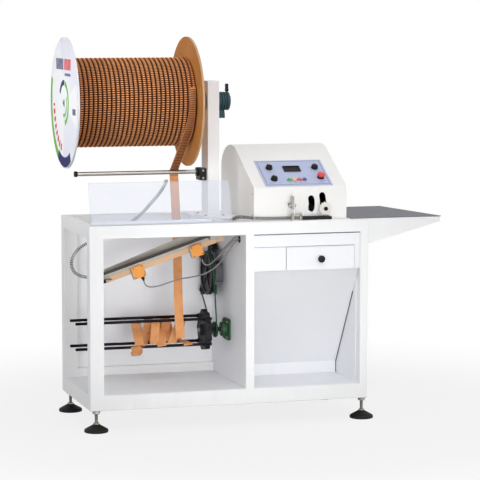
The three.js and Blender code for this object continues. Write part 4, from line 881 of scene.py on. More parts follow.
def smooth_path(points: Sequence[Point], step: float, fineness: int = 24) -> list[Vector]:
    """A smooth path through points: a spline that never overshoots, with its points about a step apart.

    Args:
        points: The points that it goes through.
        step: The distance between its points.
        fineness: Points of the curve between two of the given ones.

    Returns:
        The path.
    """
    spots = [Vector(p) for p in points]
    spots = [spots[0] * 2 - spots[1], *spots, spots[-1] * 2 - spots[-2]]
    fine: list[Vector] = []
    for a, b, c, d in zip(spots, spots[1:], spots[2:], spots[3:]):
        t1 = max((b - a).length, 1e-6) ** 0.5
        t2 = t1 + max((c - b).length, 1e-6) ** 0.5
        t3 = t2 + max((d - c).length, 1e-6) ** 0.5
        for k in range(fineness):
            t = t1 + (t2 - t1) * k / fineness
            a1 = a * ((t1 - t) / t1) + b * (t / t1)
            a2 = b * ((t2 - t) / (t2 - t1)) + c * ((t - t1) / (t2 - t1))
            a3 = c * ((t3 - t) / (t3 - t2)) + d * ((t - t2) / (t3 - t2))
            b1 = a1 * ((t2 - t) / t2) + a2 * (t / t2)
            b2 = a2 * ((t3 - t) / (t3 - t1)) + a3 * ((t - t1) / (t3 - t1))
            fine.append(b1 * ((t2 - t) / (t2 - t1)) + b2 * ((t - t1) / (t2 - t1)))
    fine.append(spots[-2])
    return even(fine, step)


def even(path: Sequence[Vector], step: float) -> list[Vector]:
    """The same path with its points evenly apart, about a step each."""
    runs = [0.0]
    for a, b in zip(path, path[1:]):
        runs.append(runs[-1] + (b - a).length)
    count = max(2, round(runs[-1] / step))
    made, at = [], 0
    for k in range(count + 1):
        want = runs[-1] * k / count
        while at < len(runs) - 2 and runs[at + 1] < want:
            at += 1
        share = (want - runs[at]) / max(runs[at + 1] - runs[at], 1e-9)
        made.append(path[at].lerp(path[at + 1], min(max(share, 0.0), 1.0)))
    return made


def put(name: str, data: bpy.types.ID | None) -> bpy.types.Object:
    """Sets an object with its data into the scene."""
    made = bpy.data.objects.new(name, data)
    bpy.context.scene.collection.objects.link(made)
    return made


@dataclass
class Workshop:
    """Makes pieces from the loaded frame, sets them on their bodies and reports them."""

    frame: dict
    count: int = 0

    @staticmethod
    def place(point: Point) -> Vector:
        """A point in the table's millimetres as metres about the machine's middle."""
        return (Vector(point) - MIDDLE) / METRE

    @staticmethod
    def middle_of(face: bmesh.types.BMFace) -> Vector:
        """The middle of a solid's face in the table's millimetres."""
        return face.calc_center_median() * METRE + MIDDLE

    def settle(
        self,
        piece: bpy.types.Object,
        finishes: Sequence[Finish],
        body: Body,
        replaces: Sequence[str],
        bevel: float,
        smooth: float,
    ) -> bpy.types.Object:
        """Gives a mesh piece its shading, bevel, body and the solids that it stands for.

        Args:
            piece: The piece.
            finishes: Its finishes, by paint number.
            body: The body that it rides on.
            replaces: The solids that it stands for.
            bevel: Width of its rounded edges.
            smooth: Greatest angle in degrees that is shaded smooth.

        Returns:
            The piece.
        """
        mesh = piece.data
        for finish in finishes:
            mesh.materials.append(finish.material())
        mesh.shade_smooth()
        mesh.set_sharp_from_angle(angle=math.radians(smooth))
        if bevel > 0:
            edge = piece.modifiers.new("rounded_edges", "BEVEL")
            edge.width = bevel / METRE
            edge.segments = 2
            edge.limit_method = "ANGLE"
            edge.angle_limit = math.radians(smooth)
            edge.harden_normals = True
        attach(piece, body.value)
        if replaces:
            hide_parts(*replaces)
        self.report(piece, body)
        return piece

    def report(self, piece: bpy.types.Object, body: Body) -> None:
        """Counts a finished piece and names it with its body."""
        self.count += 1
        log.info("%s rides on %s, %d faces", piece.name, body.value, len(piece.data.polygons))

    def piece(
        self,
        name: str,
        shape: Shape,
        finishes: Sequence[Finish],
        body: Body = Body.MACHINE,
        replaces: Sequence[str] = (),
        bevel: float = 0.0,
        smooth: float = 32.0,
    ) -> bpy.types.Object:
        """Makes a piece from a shape.

        Args:
            name: The piece's name.
            shape: Its shape.
            finishes: Its finishes, by paint number.
            body: The body that it rides on.
            replaces: The solids that it stands for.
            bevel: Width of its rounded edges.
            smooth: Greatest angle in degrees that is shaded smooth.

        Returns:
            The object.
        """
        mesh = bpy.data.meshes.new(name)
        mesh.from_pydata([self.place(corner) for corner in shape.corners], [], shape.faces)
        work = bmesh.new()
        work.from_mesh(mesh)
        for face, paint in zip(work.faces, shape.paints):
            face.material_index = paint
        if any(mark != (0.0, 0.0) for mark in shape.marks):
            layer = work.loops.layers.uv.new("run")
            for face in work.faces:
                for loop in face.loops:
                    loop[layer].uv = shape.marks[loop.vert.index]
        else:
            bmesh.ops.remove_doubles(work, verts=work.verts, dist=1e-6)
        bmesh.ops.recalc_face_normals(work, faces=work.faces)
        work.to_mesh(mesh)
        work.free()
        return self.settle(put(name, mesh), finishes, body, replaces, bevel, smooth)

    def softened(
        self,
        node: str,
        finishes: Sequence[Finish],
        bevel: float,
        body: Body = Body.MACHINE,
        paint: Callable[[Vector, Vector], int] | None = None,
        leave: Callable[[Vector], bool] | None = None,
        smooth: float = 32.0,
    ) -> bpy.types.Object:
        """Makes a finely edged piece in the form of one of the solids.

        Args:
            node: The solid's name.
            finishes: Its finishes, by paint number.
            bevel: Width of its rounded edges.
            body: The body that it rides on.
            paint: Paint number by face centre in millimetres and face direction.
            leave: True for face centres that another piece makes.
            smooth: Greatest angle in degrees that is shaded smooth.

        Returns:
            The object.
        """
        mesh = self.frame["nodes"][node].data.copy()
        mesh.name = node + "_form"
        mesh.materials.clear()
        work = bmesh.new()
        work.from_mesh(mesh)
        bmesh.ops.remove_doubles(work, verts=work.verts, dist=3e-6)
        if leave is not None:
            gone = [face for face in work.faces if leave(self.middle_of(face))]
            bmesh.ops.delete(work, geom=gone, context="FACES")
        bmesh.ops.dissolve_limit(work, angle_limit=math.radians(0.4), verts=work.verts, edges=work.edges)
        for face in work.faces:
            face.material_index = paint(self.middle_of(face), face.normal) if paint else 0
        work.to_mesh(mesh)
        work.free()
        return self.settle(put(node + "_finish", mesh), finishes, body, [node], bevel, smooth)

    def screws(
        self,
        name: str,
        spots: Sequence[tuple[Point, Point]],
        radius: float,
        finish: Finish,
        body: Body = Body.MACHINE,
    ) -> None:
        """Makes small round screw heads with a cross cut.

        Args:
            name: The piece's name.
            spots: Pairs of a place and the direction that the head points.
            radius: The head's radius.
            finish: Its finish.
            body: The body that it rides on.
        """

        def cross(turn: float, height: float) -> float:
            """Draws the head's crown in where the cross is cut."""
            return 1.0 - (0.35 if height > radius * 0.6 and math.cos(4 * turn) > 0.4 else 0.0)

        head = [(1.0, 0.0), (1.0, 0.25), (0.8, 0.5), (0.32, 0.62)]
        profile = [(0.0, 0.0), *((radius * r, radius * h) for r, h in head), (0.2, radius * 0.3)]
        shape = Shape()
        for spot, way in spots:
            turn = Vector(way).to_track_quat("Z", "Y").to_matrix()
            head_shape = Shape().turned(Axis.Z, (0, 0, 0), profile, 14, cross)
            shape.joined(head_shape.mapped(lambda corner: turn @ corner + Vector(spot)))
        self.piece(name, shape, [finish], body)

    def hex_heads(
        self,
        name: str,
        spots: Sequence[tuple[Point, Axis, float]],
        radius: float,
        finish: Finish,
        body: Body = Body.MACHINE,
    ) -> None:
        """Makes hexagon bolt heads on washers.

        Args:
            name: The piece's name.
            spots: Place, axis and the way that the head points along it, 1 or -1.
            radius: The head's radius.
            finish: Its finish.
            body: The body that it rides on.
        """
        shape = Shape()
        for spot, axis, way in spots:
            seat = way * 1.5
            shape.turned(axis, spot, [(radius * 1.25, 0), (radius * 1.25, seat), (radius, seat)], 20)
            crown = [(radius, seat), (radius, way * radius * 0.75), (radius * 0.85, way * radius * 0.9)]
            shape.turned(axis, spot, crown, 6)
        self.piece(name, shape, [finish], body, bevel=0.4)

    def cord(self, name: str, route: Sequence[Point], diameter: float, finish: Finish, node: str) -> None:
        """Makes a plain cable along its route.

        Args:
            name: The piece's name.
            route: The points of the route.
            diameter: The cable's diameter.
            finish: Its finish.
            node: The solid that it stands for.
        """
        path = smooth_path(route, diameter * 1.6)
        made = self.piece(name, Shape().tube(path, diameter / 2, 12), [finish], replaces=[node])
        self.declare_cord(made, path, diameter)

    def declare_cord(self, made: bpy.types.Object, path: Sequence[Vector], diameter: float) -> None:
        """Does nothing with a cord's piece, middle line and diameter; the machine holds both ends of the
        cord.
        """


# Studio


@dataclass
class Studio:
    """The camera, the lamps, the floor and the white surroundings, in metres."""

    shop: Workshop
    eye: tuple[float, float, float] = (-2.72848, -9.1532, 1.74655)
    yaw: float = -0.28742
    dip: float = 0.10429
    lens: float = 168.73
    ambient: float = 0.66
    floor_reach: float = 30.0
    floor_white: float = 0.82

    def build(self) -> None:
        """Makes the camera first, then the light and the floor."""
        self.camera()
        self.surroundings()
        self.floor()
        self.lamp("front_light", (-0.2, -3.6, 4.6), 2.2, 62.0, (-0.3, 0.0, 1.0))
        self.lamp("low_light", (-0.3, -3.4, 0.3), 1.2, 3.5, (0.0, 0.0, 0.4), 40.0)
        self.lamp("left_light", (-3.4, -2.6, 1.1), 1.2, 16.0, (-0.3, 0.0, 0.8))
        self.lamp("right_light", (4.6, -1.6, 1.8), 2.0, 32.0)
        self.lamp("label_light", (-2.3, -1.1, 1.6), 0.6, 1.0, (-0.8, 0.0, 1.36), 34.0)

    def camera(self) -> None:
        """Sets the camera where the photo was taken."""
        data = bpy.data.cameras.new("photo_camera")
        data.lens = self.lens
        data.sensor_width = 36.0
        data.clip_end = 100.0
        camera = put("photo_camera", data)
        camera.location = self.eye
        camera.rotation_euler = (math.pi / 2 - self.dip, 0.0, self.yaw)
        bpy.context.scene.camera = camera

    def lamp(
        self,
        name: str,
        spot: Point,
        size: float,
        power: float,
        aim: Point = (0.0, 0.0, 0.75),
        spread: float = 180.0,
    ) -> None:
        """Makes a square lamp.

        Args:
            name: The lamp's name.
            spot: Its place in metres.
            size: Its side.
            power: Its power in watts.
            aim: The point that it faces.
            spread: The angle in degrees that its light fills.
        """
        data = bpy.data.lights.new(name, "AREA")
        data.energy = power
        data.size = size
        data.spread = math.radians(spread)
        made = put(name, data)
        made.location = spot
        made.rotation_euler = (Vector(aim) - Vector(spot)).to_track_quat("-Z", "Y").to_euler()

    @staticmethod
    def seen(shader: Shader) -> Signal:
        """More than 0 for what the camera sees, by itself, in gloss or through the clear guard."""
        path = shader.node("ShaderNodeLightPath")
        camera, glossy = path.output("Is Camera Ray"), path.output("Is Glossy Ray")
        return camera + glossy + path.output("Is Transmission Ray")

    def surroundings(self) -> None:
        """White world for the camera and for reflections, soft light for everything else."""
        world = bpy.data.worlds.new("surroundings")
        bpy.context.scene.world = world
        shader = Shader(world, "ShaderNodeOutputWorld")
        light, white = (
            shader.node("ShaderNodeBackground", None, {"Color": (*colour, 1.0), "Strength": strength})
            for colour, strength in (((0.97, 0.98, 1.0), self.ambient), ((1.0, 1.0, 1.0), 1.0))
        )
        values = {0: self.seen(shader) > 0.5, 1: light, 2: white}
        shader.close(shader.node("ShaderNodeMixShader", None, values))

    def floor(self) -> None:
        """A white floor that keeps a soft shadow and fades into the surroundings."""
        mesh = bpy.data.meshes.new("studio_floor")
        signs = ((-1, -1), (1, -1), (1, 1), (-1, 1))
        corners = [(x * self.floor_reach, y * self.floor_reach, 0.0) for x, y in signs]
        mesh.from_pydata(corners, [], [(0, 1, 2, 3)])
        material = bpy.data.materials.new("studio_white")
        shader = Shader(material)
        speck = shader.noise(shader.coordinates(), 40.0)
        across, back, _ = shader.split(shader.coordinates())
        far = (across * across + back * back).root().rise(0.9, 2.4)
        share = (self.seen(shader) > 0.5) * (far * (1.0 - self.floor_white) + self.floor_white)
        grey = {"Base Color": (0.42, 0.42, 0.42, 1.0), "Roughness": speck * 0.1 + 0.85}
        matt = shader.node("ShaderNodeBsdfPrincipled", None, grey)
        glow = shader.node("ShaderNodeEmission", None, {"Color": (1.0, 1.0, 1.0, 1.0), "Strength": 1.0})
        shader.close(shader.node("ShaderNodeMixShader", None, {0: share, 1: matt, 2: glow}))
        mesh.materials.append(material)
        put("studio_floor", mesh)


# Cords


@dataclass
class Cords:
    """The free strand of twin-loop wire and the three cables."""

    shop: Workshop
    strand_size: float = 14.0
    cable_size: float = 5.5
    pair_pitch: float = 8.5
    pair_gap: float = 3.0
    wire: float = 1.6
    loop_start: float = math.radians(25)
    loop_sweep: float = math.radians(310)
    strand: Sequence[Point] = (
        (398, 279, 1012), (382, 262, 988), (352, 226, 960), (308, 192, 924), (262, 166, 884), (205, 150, 846),
        (140, 142, 818), (80, 136, 794), (18, 134, 768), (-28, 134, 732), (-46, 135, 690), (-34, 137, 652),
        (6, 139, 630), (52, 140, 628), (100, 140, 641.7), (170, 140, 664.2), (250, 140, 690.1),
        (330, 140, 716), (410, 140, 741.9), (490, 140, 768.1), (556, 139, 790.3), (598, 134, 816),
        (628, 118, 844), (648, 86, 863), (674, 52, 866), (706, 32, 864), (744, 27, 862), (786, 26, 861),
        (840, 26, 861), (882, 26, 861), (911, 26, 861),
    )
    low_cable: Sequence[Point] = (
        (247.7, 81.7, 611.9), (252, 82, 598.6), (268, 86, 586), (312, 100, 585), (360, 124, 594),
        (420, 145, 606), (480, 155, 612), (532, 158, 624), (574, 154, 648), (606, 146, 684),
        (628, 130, 720), (642, 110, 750), (651.5, 102, 762.8), (661.8, 101, 764),
    )
    high_cable: Sequence[Point] = (
        (497, 81.7, 692.7), (501.3, 82.2, 679.4), (514, 93, 668), (537, 108, 668), (568, 118, 689),
        (600, 116, 720), (624, 106, 746), (640, 96, 765), (651, 92.4, 769.8), (661.8, 92, 770),
    )
    motor_lead: Sequence[Point] = (
        (642, 361, 697), (642, 340, 697), (643, 300, 704), (645, 250, 722), (647, 200, 742), (647, 144, 764),
        (649, 114, 777), (654, 105, 779), (661.7, 104, 779),
    )

    def build(self) -> None:
        """Makes the cords."""
        self.wire_strand()
        self.shop.cord("low_sensor_cable", self.low_cable, self.cable_size, CABLE_GREY, "sensor_cable_low")
        self.shop.cord("high_sensor_cable", self.high_cable, self.cable_size, CABLE_GREY, "sensor_cable_high")
        self.shop.cord("motor_lead", self.motor_lead, self.cable_size, CABLE_GREY, "motor_cable")

    def wire_strand(self) -> None:
        """Bends one thin wire into pairs of round loops that stay open at the top."""
        quarter = self.pair_pitch / 4
        line = smooth_path(self.strand, quarter)
        frames = carried(line)
        radius, steps = self.strand_size / 2 - self.wire / 2, 16
        wire: list[Vector] = []
        for pair in range(len(line) // 4):
            for back, offset in ((False, -self.pair_gap / 2), (True, self.pair_gap / 2)):
                place = pair * 4 + 2 + offset / quarter
                low = max(0, min(len(line) - 2, int(place)))
                centre = line[low].lerp(line[low + 1], place - low)
                side, up = frames[low]
                for k in range(steps + 1):
                    share = 1 - k / steps if back else k / steps
                    tip = math.sin(math.pi * share) < 0.12
                    turn = self.loop_start + self.loop_sweep * share
                    reach = radius * (0.88 if tip else 1.0)
                    wire.append(centre + side * (reach * math.cos(turn)) + up * (reach * math.sin(turn)))
        strand = Shape().tube(wire, self.wire / 2, 5)
        made = self.shop.piece("twin_loop_strand", strand, [LOOP_WIRE], replaces=["wire_strand"], smooth=70.0)
        self.shop.declare_cord(made, line, self.strand_size)


# Table


@dataclass
class Table:
    """The welded table frame with its feet, sheet covers, drawer, top plate and wing."""

    shop: Workshop
    feet: dict[str, Flat] = field(
        default_factory=lambda: {
            "foot_front_left": (29.5, 25.0),
            "foot_front_right": (1182.5, 25.0),
            "foot_rear_left": (29.5, 525.0),
            "foot_rear_right": (1170.5, 525.0),
        }
    )
    seam_places: Sequence[float] = (59.0, 663.0, 700.0, 1165.0)
    rail_edges: Sequence[float] = (151.0, 797.0)
    bay_left: float = 700.8
    bay_right: float = 1164.4
    drawer_low: Flat = (841.6, 645.6)
    drawer_high: Flat = (1139.4, 740.4)

    def build(self) -> None:
        """Makes the table's pieces."""
        self.frames()
        for name, spot in self.feet.items():
            self.foot(name, spot)
        self.covers()
        self.shadow_strips()
        self.drawer()
        self.wing()

    def frames(self) -> None:
        """The two welded frames with ground weld seams at their corners."""
        self.shop.softened("front_frame", [WHITE], 2.2)
        self.shop.softened("rear_frame", [WHITE], 2.0)
        seams = Shape()
        for x in self.seam_places:
            for z in self.rail_edges:
                seams.tube([Vector((x, y, z)) for y in (3.0, 20.0, 37.0)], 1.3, 6)
        self.shop.piece("weld_seams", seams, [WHITE], smooth=60.0)

    def foot(self, name: str, spot: Flat) -> None:
        """A levelling foot: domed rubber pad, threaded stem and lock nut.

        Args:
            name: The solid that it stands for.
            spot: Its place on the floor.
        """

        def ribs(turn: float, height: float) -> float:
            """Draws the pad's rim in between its ribs."""
            return 1 - 0.006 * (height < 9) * (math.sin(24 * turn) > 0.3)

        at = (*spot, 0)
        pad = [
            (0, 0), (47, 0), (49.5, 1.2), (50, 4), (50, 8.5), (48.6, 11.8), (44, 15), (36, 19.5), (27, 24.5),
            (20, 28.5), (17.2, 30), (15.5, 31.5), (12, 32), (0, 32),
        ]
        thread = [point for k in range(27) for point in ((6.1, 31.5 + 2 * k), (7.0, 32.5 + 2 * k))]
        shape = Shape().turned(Axis.Z, at, pad, 56, ribs).painted(1)
        shape.turned(Axis.Z, at, [(0, 31), *thread, (6, 87), (0, 87)], 20)
        shape.turned(Axis.Z, at, [(11.5, 32), (13, 33), (13, 38), (11.5, 39), (6, 39)], 6)
        nut = [(6, 75.5), (14.5, 75.5), (16.2, 77), (16.2, 86), (14.5, 88.2), (6, 89.2)]
        shape.turned(Axis.Z, at, nut, 6)
        shape.turned(Axis.Z, at, [(6.4, 86.5), (19, 86.5), (19, 89.4), (6.4, 89.4)], 28)
        self.shop.piece(name + "_levelling", shape, [BLACK_RUBBER, ZINC], replaces=[name], smooth=40.0)

    def covers(self) -> None:
        """Sheet covers, the top plate and their screws."""

        def grommet(centre: Vector, way: Vector) -> int:
            """Black where the grommet stands out of the panel."""
            inside = abs(centre.y - 96) < 15.2 and abs(centre.z - 770) < 15.2
            return int(inside and centre.x < PARTITION_FACE + 0.2)

        for node in ("back_panel", "bottom_shelf", "side_panel_right", "electrical_cover", "front_panel"):
            self.shop.softened(node, [SHEET_WHITE], 0.7)
        self.shop.softened("table_top", [WHITE], 0.6)
        self.shop.softened("partition_panel", [SHEET_WHITE, BLACK_RUBBER], 0.6, paint=grommet)
        spots = [((x, 80.0 + 97 * k, TABLE_SEAT - 0.05), (0, 0, 1)) for x in (545, 1188) for k in range(5)]
        self.shop.screws("cover_screws", spots, 3.6, ZINC)

    def shadow_strips(self) -> None:
        """Black strips as painted shadow lines at the front panel's joints and along the slanted cover's
        edge.
        """
        front, (left, low), (right, high) = 6.4, self.drawer_low, self.drawer_high
        # Painted shadow: strips under the top rail, over the drawer and beside it, and along the cover's
        # edge.
        strips = Shape().block((self.bay_left, front - 1.4, 793.6), (self.bay_right, front, 796.4))
        strips.block((self.bay_left, front - 1.0, high + 1.3), (right + 1.0, front, high + 2.6))
        strips.block((left - 2.2, front - 0.8, low - 2.2), (left - 0.8, front, high + 2.6))
        cover = ((80.0, 536.0), (190.0, 369.0), (300.4, 201.0), (300.4, 154.0))
        strips.tube([Vector((self.bay_right - 3.8, y, z)) for y, z in cover], 1.6, 6)
        self.shop.piece("painted_shadow_strips", strips, [BLACK_RUBBER])

    def drawer(self) -> None:
        """The drawer with its turned knob."""
        self.shop.softened("drawer", [SHEET_WHITE], 0.8, Body.DRAWER, leave=lambda centre: centre.y < 5.6)
        profile = [
            (0, -17), (11, -17), (14.2, -15.4), (15.2, -12.6), (15, -9), (12.4, -5), (8, -2), (7, 0), (7, 4),
            (9.4, 5), (9.4, 6), (0, 6),
        ]
        knob = Shape().turned(Axis.Y, (990.5, 0, 688.2), profile, 40)
        self.shop.piece("drawer_knob", knob, [BLACK_PLASTIC], Body.DRAWER)
        (left, low), (right, high) = self.drawer_low, self.drawer_high
        corners = [Vector((x, 5.2, z)) for x, z in ((left, low), (left, high), (right, high), (right, low))]
        self.shop.piece("drawer_folded_rim", Shape().tube(corners, 0.8, 6, True), [SHEET_WHITE], Body.DRAWER)

    def wing(self) -> None:
        """The grey wing plate on its folded bracket."""
        self.shop.softened("wing_plate", [WING_GREY], 0.7)
        self.shop.softened("wing_bracket", [WHITE], 0.6)
        self.shop.screws("wing_screws", [((1150, y, 855.6), (0, 0, 1)) for y in (40, 280, 470)], 4.2, ZINC)


# Spool stand


@dataclass
class SpoolStand:
    """The column with its bearings and brake, and the guide bar below the spool."""

    shop: Workshop
    faces: Flat = (563.0, 613.0)
    brake_left: float = 620.6
    fins: int = 3
    fin_pitch: float = 11.5
    guide_length: float = 548.0

    def build(self) -> None:
        """Makes the stand's pieces."""
        self.column()
        self.brake()
        self.guide()

    def column(self) -> None:
        """The column, the bearings on its two faces and their bolts."""
        left, right = self.faces

        def bearing(centre: Vector) -> bool:
            """True on the faces of the two bearings outside the column."""
            reach = math.hypot(centre.y - SPOOL_AXIS[0], centre.z - SPOOL_AXIS[1])
            return reach < 38 and not left + 0.2 < centre.x < right - 0.2

        self.shop.softened("column", [WHITE], 2.0, leave=bearing)
        shape = Shape()
        for face, way in ((left, -1), (right, 1)):
            steps = ((36.5, 0), (37, 0.8), (37, 6), (35.8, 7), (26, 7.2), (24, 9), (24, 14.2), (23, 15))
            profile = [(14.6, 0), *((radius, way * height) for radius, height in steps), (14.6, way * 15)]
            shape.turned(Axis.X, (face, *SPOOL_AXIS), profile, 64)
        self.shop.piece("column_bearings", shape, [MOTOR_GREY])
        quarters = [math.radians(45 + 90 * k) for k in range(4)]
        bolts = bolt_circle(left - 7.2, SPOOL_AXIS, 30, quarters, -1)
        self.shop.hex_heads("bearing_bolts", bolts, 3.2, ZINC)
        corners = [((x, y, 860.6), Axis.Z, 1) for x in (550, 626) for y in (212, 338)]
        self.shop.hex_heads("column_base_bolts", corners, 6.0, ZINC)

    def brake(self) -> None:
        """The cast brake with its clamp lever."""
        left, (middle, height) = self.brake_left, SPOOL_AXIS
        profile = [(26, 0), (38, 0), (39, 1)]
        groove = (
            (39, -5.6), (38.4, -5), (33.4, -5), (33, -4.6), (33, -0.4), (33.4, 0), (38.4, 0), (39, 0.6),
        )
        for k in range(1, self.fins + 1):
            profile += [(radius, k * self.fin_pitch + run) for radius, run in groove]
        profile += [(39, 44), (37, 46), (27, 46), (26, 47), (26, 50), (24, 51), (9, 51), (8, 50), (0, 50)]
        shape = Shape().turned(Axis.X, (left, middle, height), profile, 64)
        foot = [
            (256, 1270), (294, 1270), (294, 1288), (288, 1298), (286, 1312), (264, 1312), (262, 1298),
            (256, 1288),
        ]
        shape.drawn(Axis.X, foot, left, left + 26)
        self.shop.piece("brake_casting", shape, [TEAL_CAST], replaces=["brake_body"], bevel=0.6)
        heads = bolt_circle(left + 46, SPOOL_AXIS, 32, (0.5, 2.6, 4.7), 1)
        self.shop.hex_heads("brake_bolts", heads, 3.4, ZINC)
        x0, z0 = left + 33, height + 39.3
        pivot = [(0, 0), (7, 0), (7.5, 0.6), (7.5, 12.4), (7, 13), (0, 13)]
        lever = Shape().turned(Axis.X, (x0, middle, z0 + 7.5), pivot, 32)
        arm = (
            (-4.5, 7), (4.5, 7), (6, 18), (8, 27), (6, 32), (4, 34), (-1, 33), (-4.5, 31), (-5.4, 18),
        )
        lever.drawn(Axis.X, [(middle + y, z0 + z) for y, z in arm], x0 + 0.5, x0 + 12.5)
        body = Body.BRAKE_LEVER
        self.shop.piece("brake_clamp_lever", lever, [BLACK_PLASTIC], body, ["brake_lever"], bevel=1.6)

    def guide(self) -> None:
        """The chrome roller on its axle and the clamp block at the column."""
        place, end = (0, *ROLLER_AXIS), self.guide_length
        profile = [(5.6, 12), (8.4, 12), (9, 12.6), (9, 523.4), (8.4, 524), (5.6, 524)]
        tube = Shape().turned(Axis.X, place, profile, 48)
        self.shop.piece("guide_tube", tube, [CHROME], Body.GUIDE_ROLLER, ["guide_roller"])
        shape = Shape().turned(Axis.X, place, [(0, -1), (4.4, -1), (5, -0.4), (5, end), (0, end)], 32)
        collar = [(5, 524.3), (18, 524.3), (19, 525.2), (19, end - 2), (18, end - 1), (5, end - 1)]
        shape.turned(Axis.X, place, collar, 56)
        shape.block((532.7, 245, 1009), (562.7, 305, 1059))
        cap = [(4.6, -1), (11, -1), (12, 0), (12, 10.6), (11, 11.7), (4.6, 11.7)]
        shape.painted(1).turned(Axis.X, place, cap, 40)
        finishes = [BLACK_STEEL, BLACK_PLASTIC]
        self.shop.piece("guide_block", shape, finishes, replaces=["guide_clamp"], bevel=1.2)
        bolts = [((end, 245, z), Axis.Y, -1) for z in (1018, 1050)]
        self.shop.hex_heads("guide_block_bolts", bolts, 4.0, ZINC)


def bolt_circle(
    face: float, middle: Flat, radius: float, turns: Sequence[float], way: float
) -> list[tuple[Point, Axis, float]]:
    """Places of bolt heads at angles on a circle about an axis along X, each with its axis and way."""
    return [((face, *spot), Axis.X, way) for spot in round_points(middle, radius, turns)]


# Spool


@dataclass
class Spool:
    """The spool: shaft, core, two flanges and the outer layer of twin-loop wire on paper."""

    shop: Workshop
    loops: int = 26
    closing: int = 1
    wide: float = 17.2
    high: float = 12.0
    centre: float = 180.0
    first: float = -24.2
    pitch: float = 19.0
    rung_pitch: float = 9.2
    flange_radius: float = 271.5
    flange_thickness: float = 9.0

    def build(self) -> None:
        """Makes the spool's pieces."""
        self.shaft()
        self.flange("left_flange", "flange_left", -42.0, -1, [LABEL, LABEL_EDGE, BOARD])
        self.flange("right_flange", "flange_right", 481.0, 1, [BOARD, BOARD_EDGE, BOARD])
        self.winding()

    def shaft(self) -> None:
        """The shaft with its collar, and the core on it."""
        at = (0, *SPOOL_AXIS)
        profile = [
            (0, -44), (12, -44), (14, -42), (14, 490.3), (34.8, 490.3), (36, 491.4), (36, 503.2),
            (34.8, 504.3), (14, 504.3), (14, 666.3), (0, 666.3),
        ]
        axle = Shape().turned(Axis.X, at, profile, 64)
        self.shop.piece("spool_axle", axle, [STEEL], Body.SPOOL, ["spool_shaft"])
        screws = [((497, SPOOL_AXIS[0], SPOOL_AXIS[1] + 36), (0, 0, 1)), ((-44.2, *SPOOL_AXIS), (-1, 0, 0))]
        self.shop.screws("collar_screw", screws, 4.0, BLACKENED, Body.SPOOL)
        core = Shape().turned(Axis.X, at, [(14.3, -32.7), (172, -32.7), (172, 480.7), (14.3, 480.7)], 96)
        self.shop.piece("spool_drum", core, [CORE_BOARD], Body.SPOOL, ["spool_core"])

    def flange(self, name: str, node: str, start: float, outward: int, finishes: list[Finish]) -> None:
        """A flange with its bore and drive hole.

        Args:
            name: The piece's name.
            node: The solid that it stands for.
            start: Its left face.
            outward: 1 where its outer face looks to the right, -1 to the left.
            finishes: Outer face, rim and inner face.
        """
        drive_hole = (SPOOL_AXIS[0], SPOOL_AXIS[1] - 58)
        holes = [circle(SPOOL_AXIS, 17, 40), circle(drive_hole, 7, 24)]
        outline = circle(SPOOL_AXIS, self.flange_radius, 192)
        shape = Shape().plate(Axis.X, outline, holes, start, start + self.flange_thickness)
        made = self.shop.piece(name, shape, finishes, Body.SPOOL, [node], bevel=0.5)
        for face in made.data.polygons:
            facing = face.normal.x * outward
            face.material_index = 0 if facing > 0.9 else 2 if facing < -0.9 else 1

    def winding(self) -> None:
        """The wound layer: a paper bed in turns with wire rungs that arch over it."""
        steps, sides = 150, 12
        turns, turn_long = self.loops + self.closing, 2 * math.pi * self.centre
        half, rise = self.wide / 2, self.high / 2
        section = circle((0.0, 0.0), 1.0, sides)
        rings, marks = [], []
        for i in range(-1, turns * steps + 2):
            on = min(max(i, 0), turns * steps)
            share, run = on / steps, (i - on) * self.wide * 0.9
            rings.append([self.on_turn(share, half * 0.98 * a, rise * 0.86 * b, run) for a, b in section])
            marks.append([(share * turn_long + run, k / sides) for k in range(sides)])
        bed = Shape().skin(rings, marks=marks)
        rungs = Shape()
        pair = ((-2.3, 0.0), (-1.9, 0.8), (-0.5, 0.6), (0.5, 0.6), (1.9, 0.8), (2.3, 0.0))
        arch = round_points((0.0, 0.0), 1.0, [math.radians(10 + 40 * k) for k in range(5)])
        count = round(turns * turn_long / self.rung_pitch)
        for n in range(count):
            share = (n + 0.5) / count * turns
            rungs.skin([
                [
                    self.on_turn(share, (half * 0.9 + lift) * a, (rise - 0.6 + lift) * b, run)
                    for run, lift in pair
                ]
                for a, b in arch
            ])
        self.shop.piece("wound_paper_bed", bed, [WOUND_WIRE], Body.SPOOL, ["wire_winding"], smooth=60.0)
        self.shop.piece("wound_wire_rungs", rungs, [WIRE_RUNG], Body.SPOOL, smooth=80.0)

    def on_turn(self, share: float, across: float, out: float, run: float) -> Vector:
        """A point on the wound layer after a number of turns, with offsets along the spool, out and on."""
        outward, onward = round_ways(2 * math.pi * share)
        place = self.first + self.pitch * min(share, self.loops - 0.05)
        return Vector((place + across, *SPOOL_AXIS)) + outward * (self.centre + out) + onward * run


def round_ways(angle: float) -> tuple[Vector, Vector]:
    """Outward and onward directions on a turn about an axis along X, from its front over its top."""
    cos, sin = math.cos(angle), math.sin(angle)
    return Vector((0, -cos, sin)), Vector((0, sin, cos))


# Guard and trough


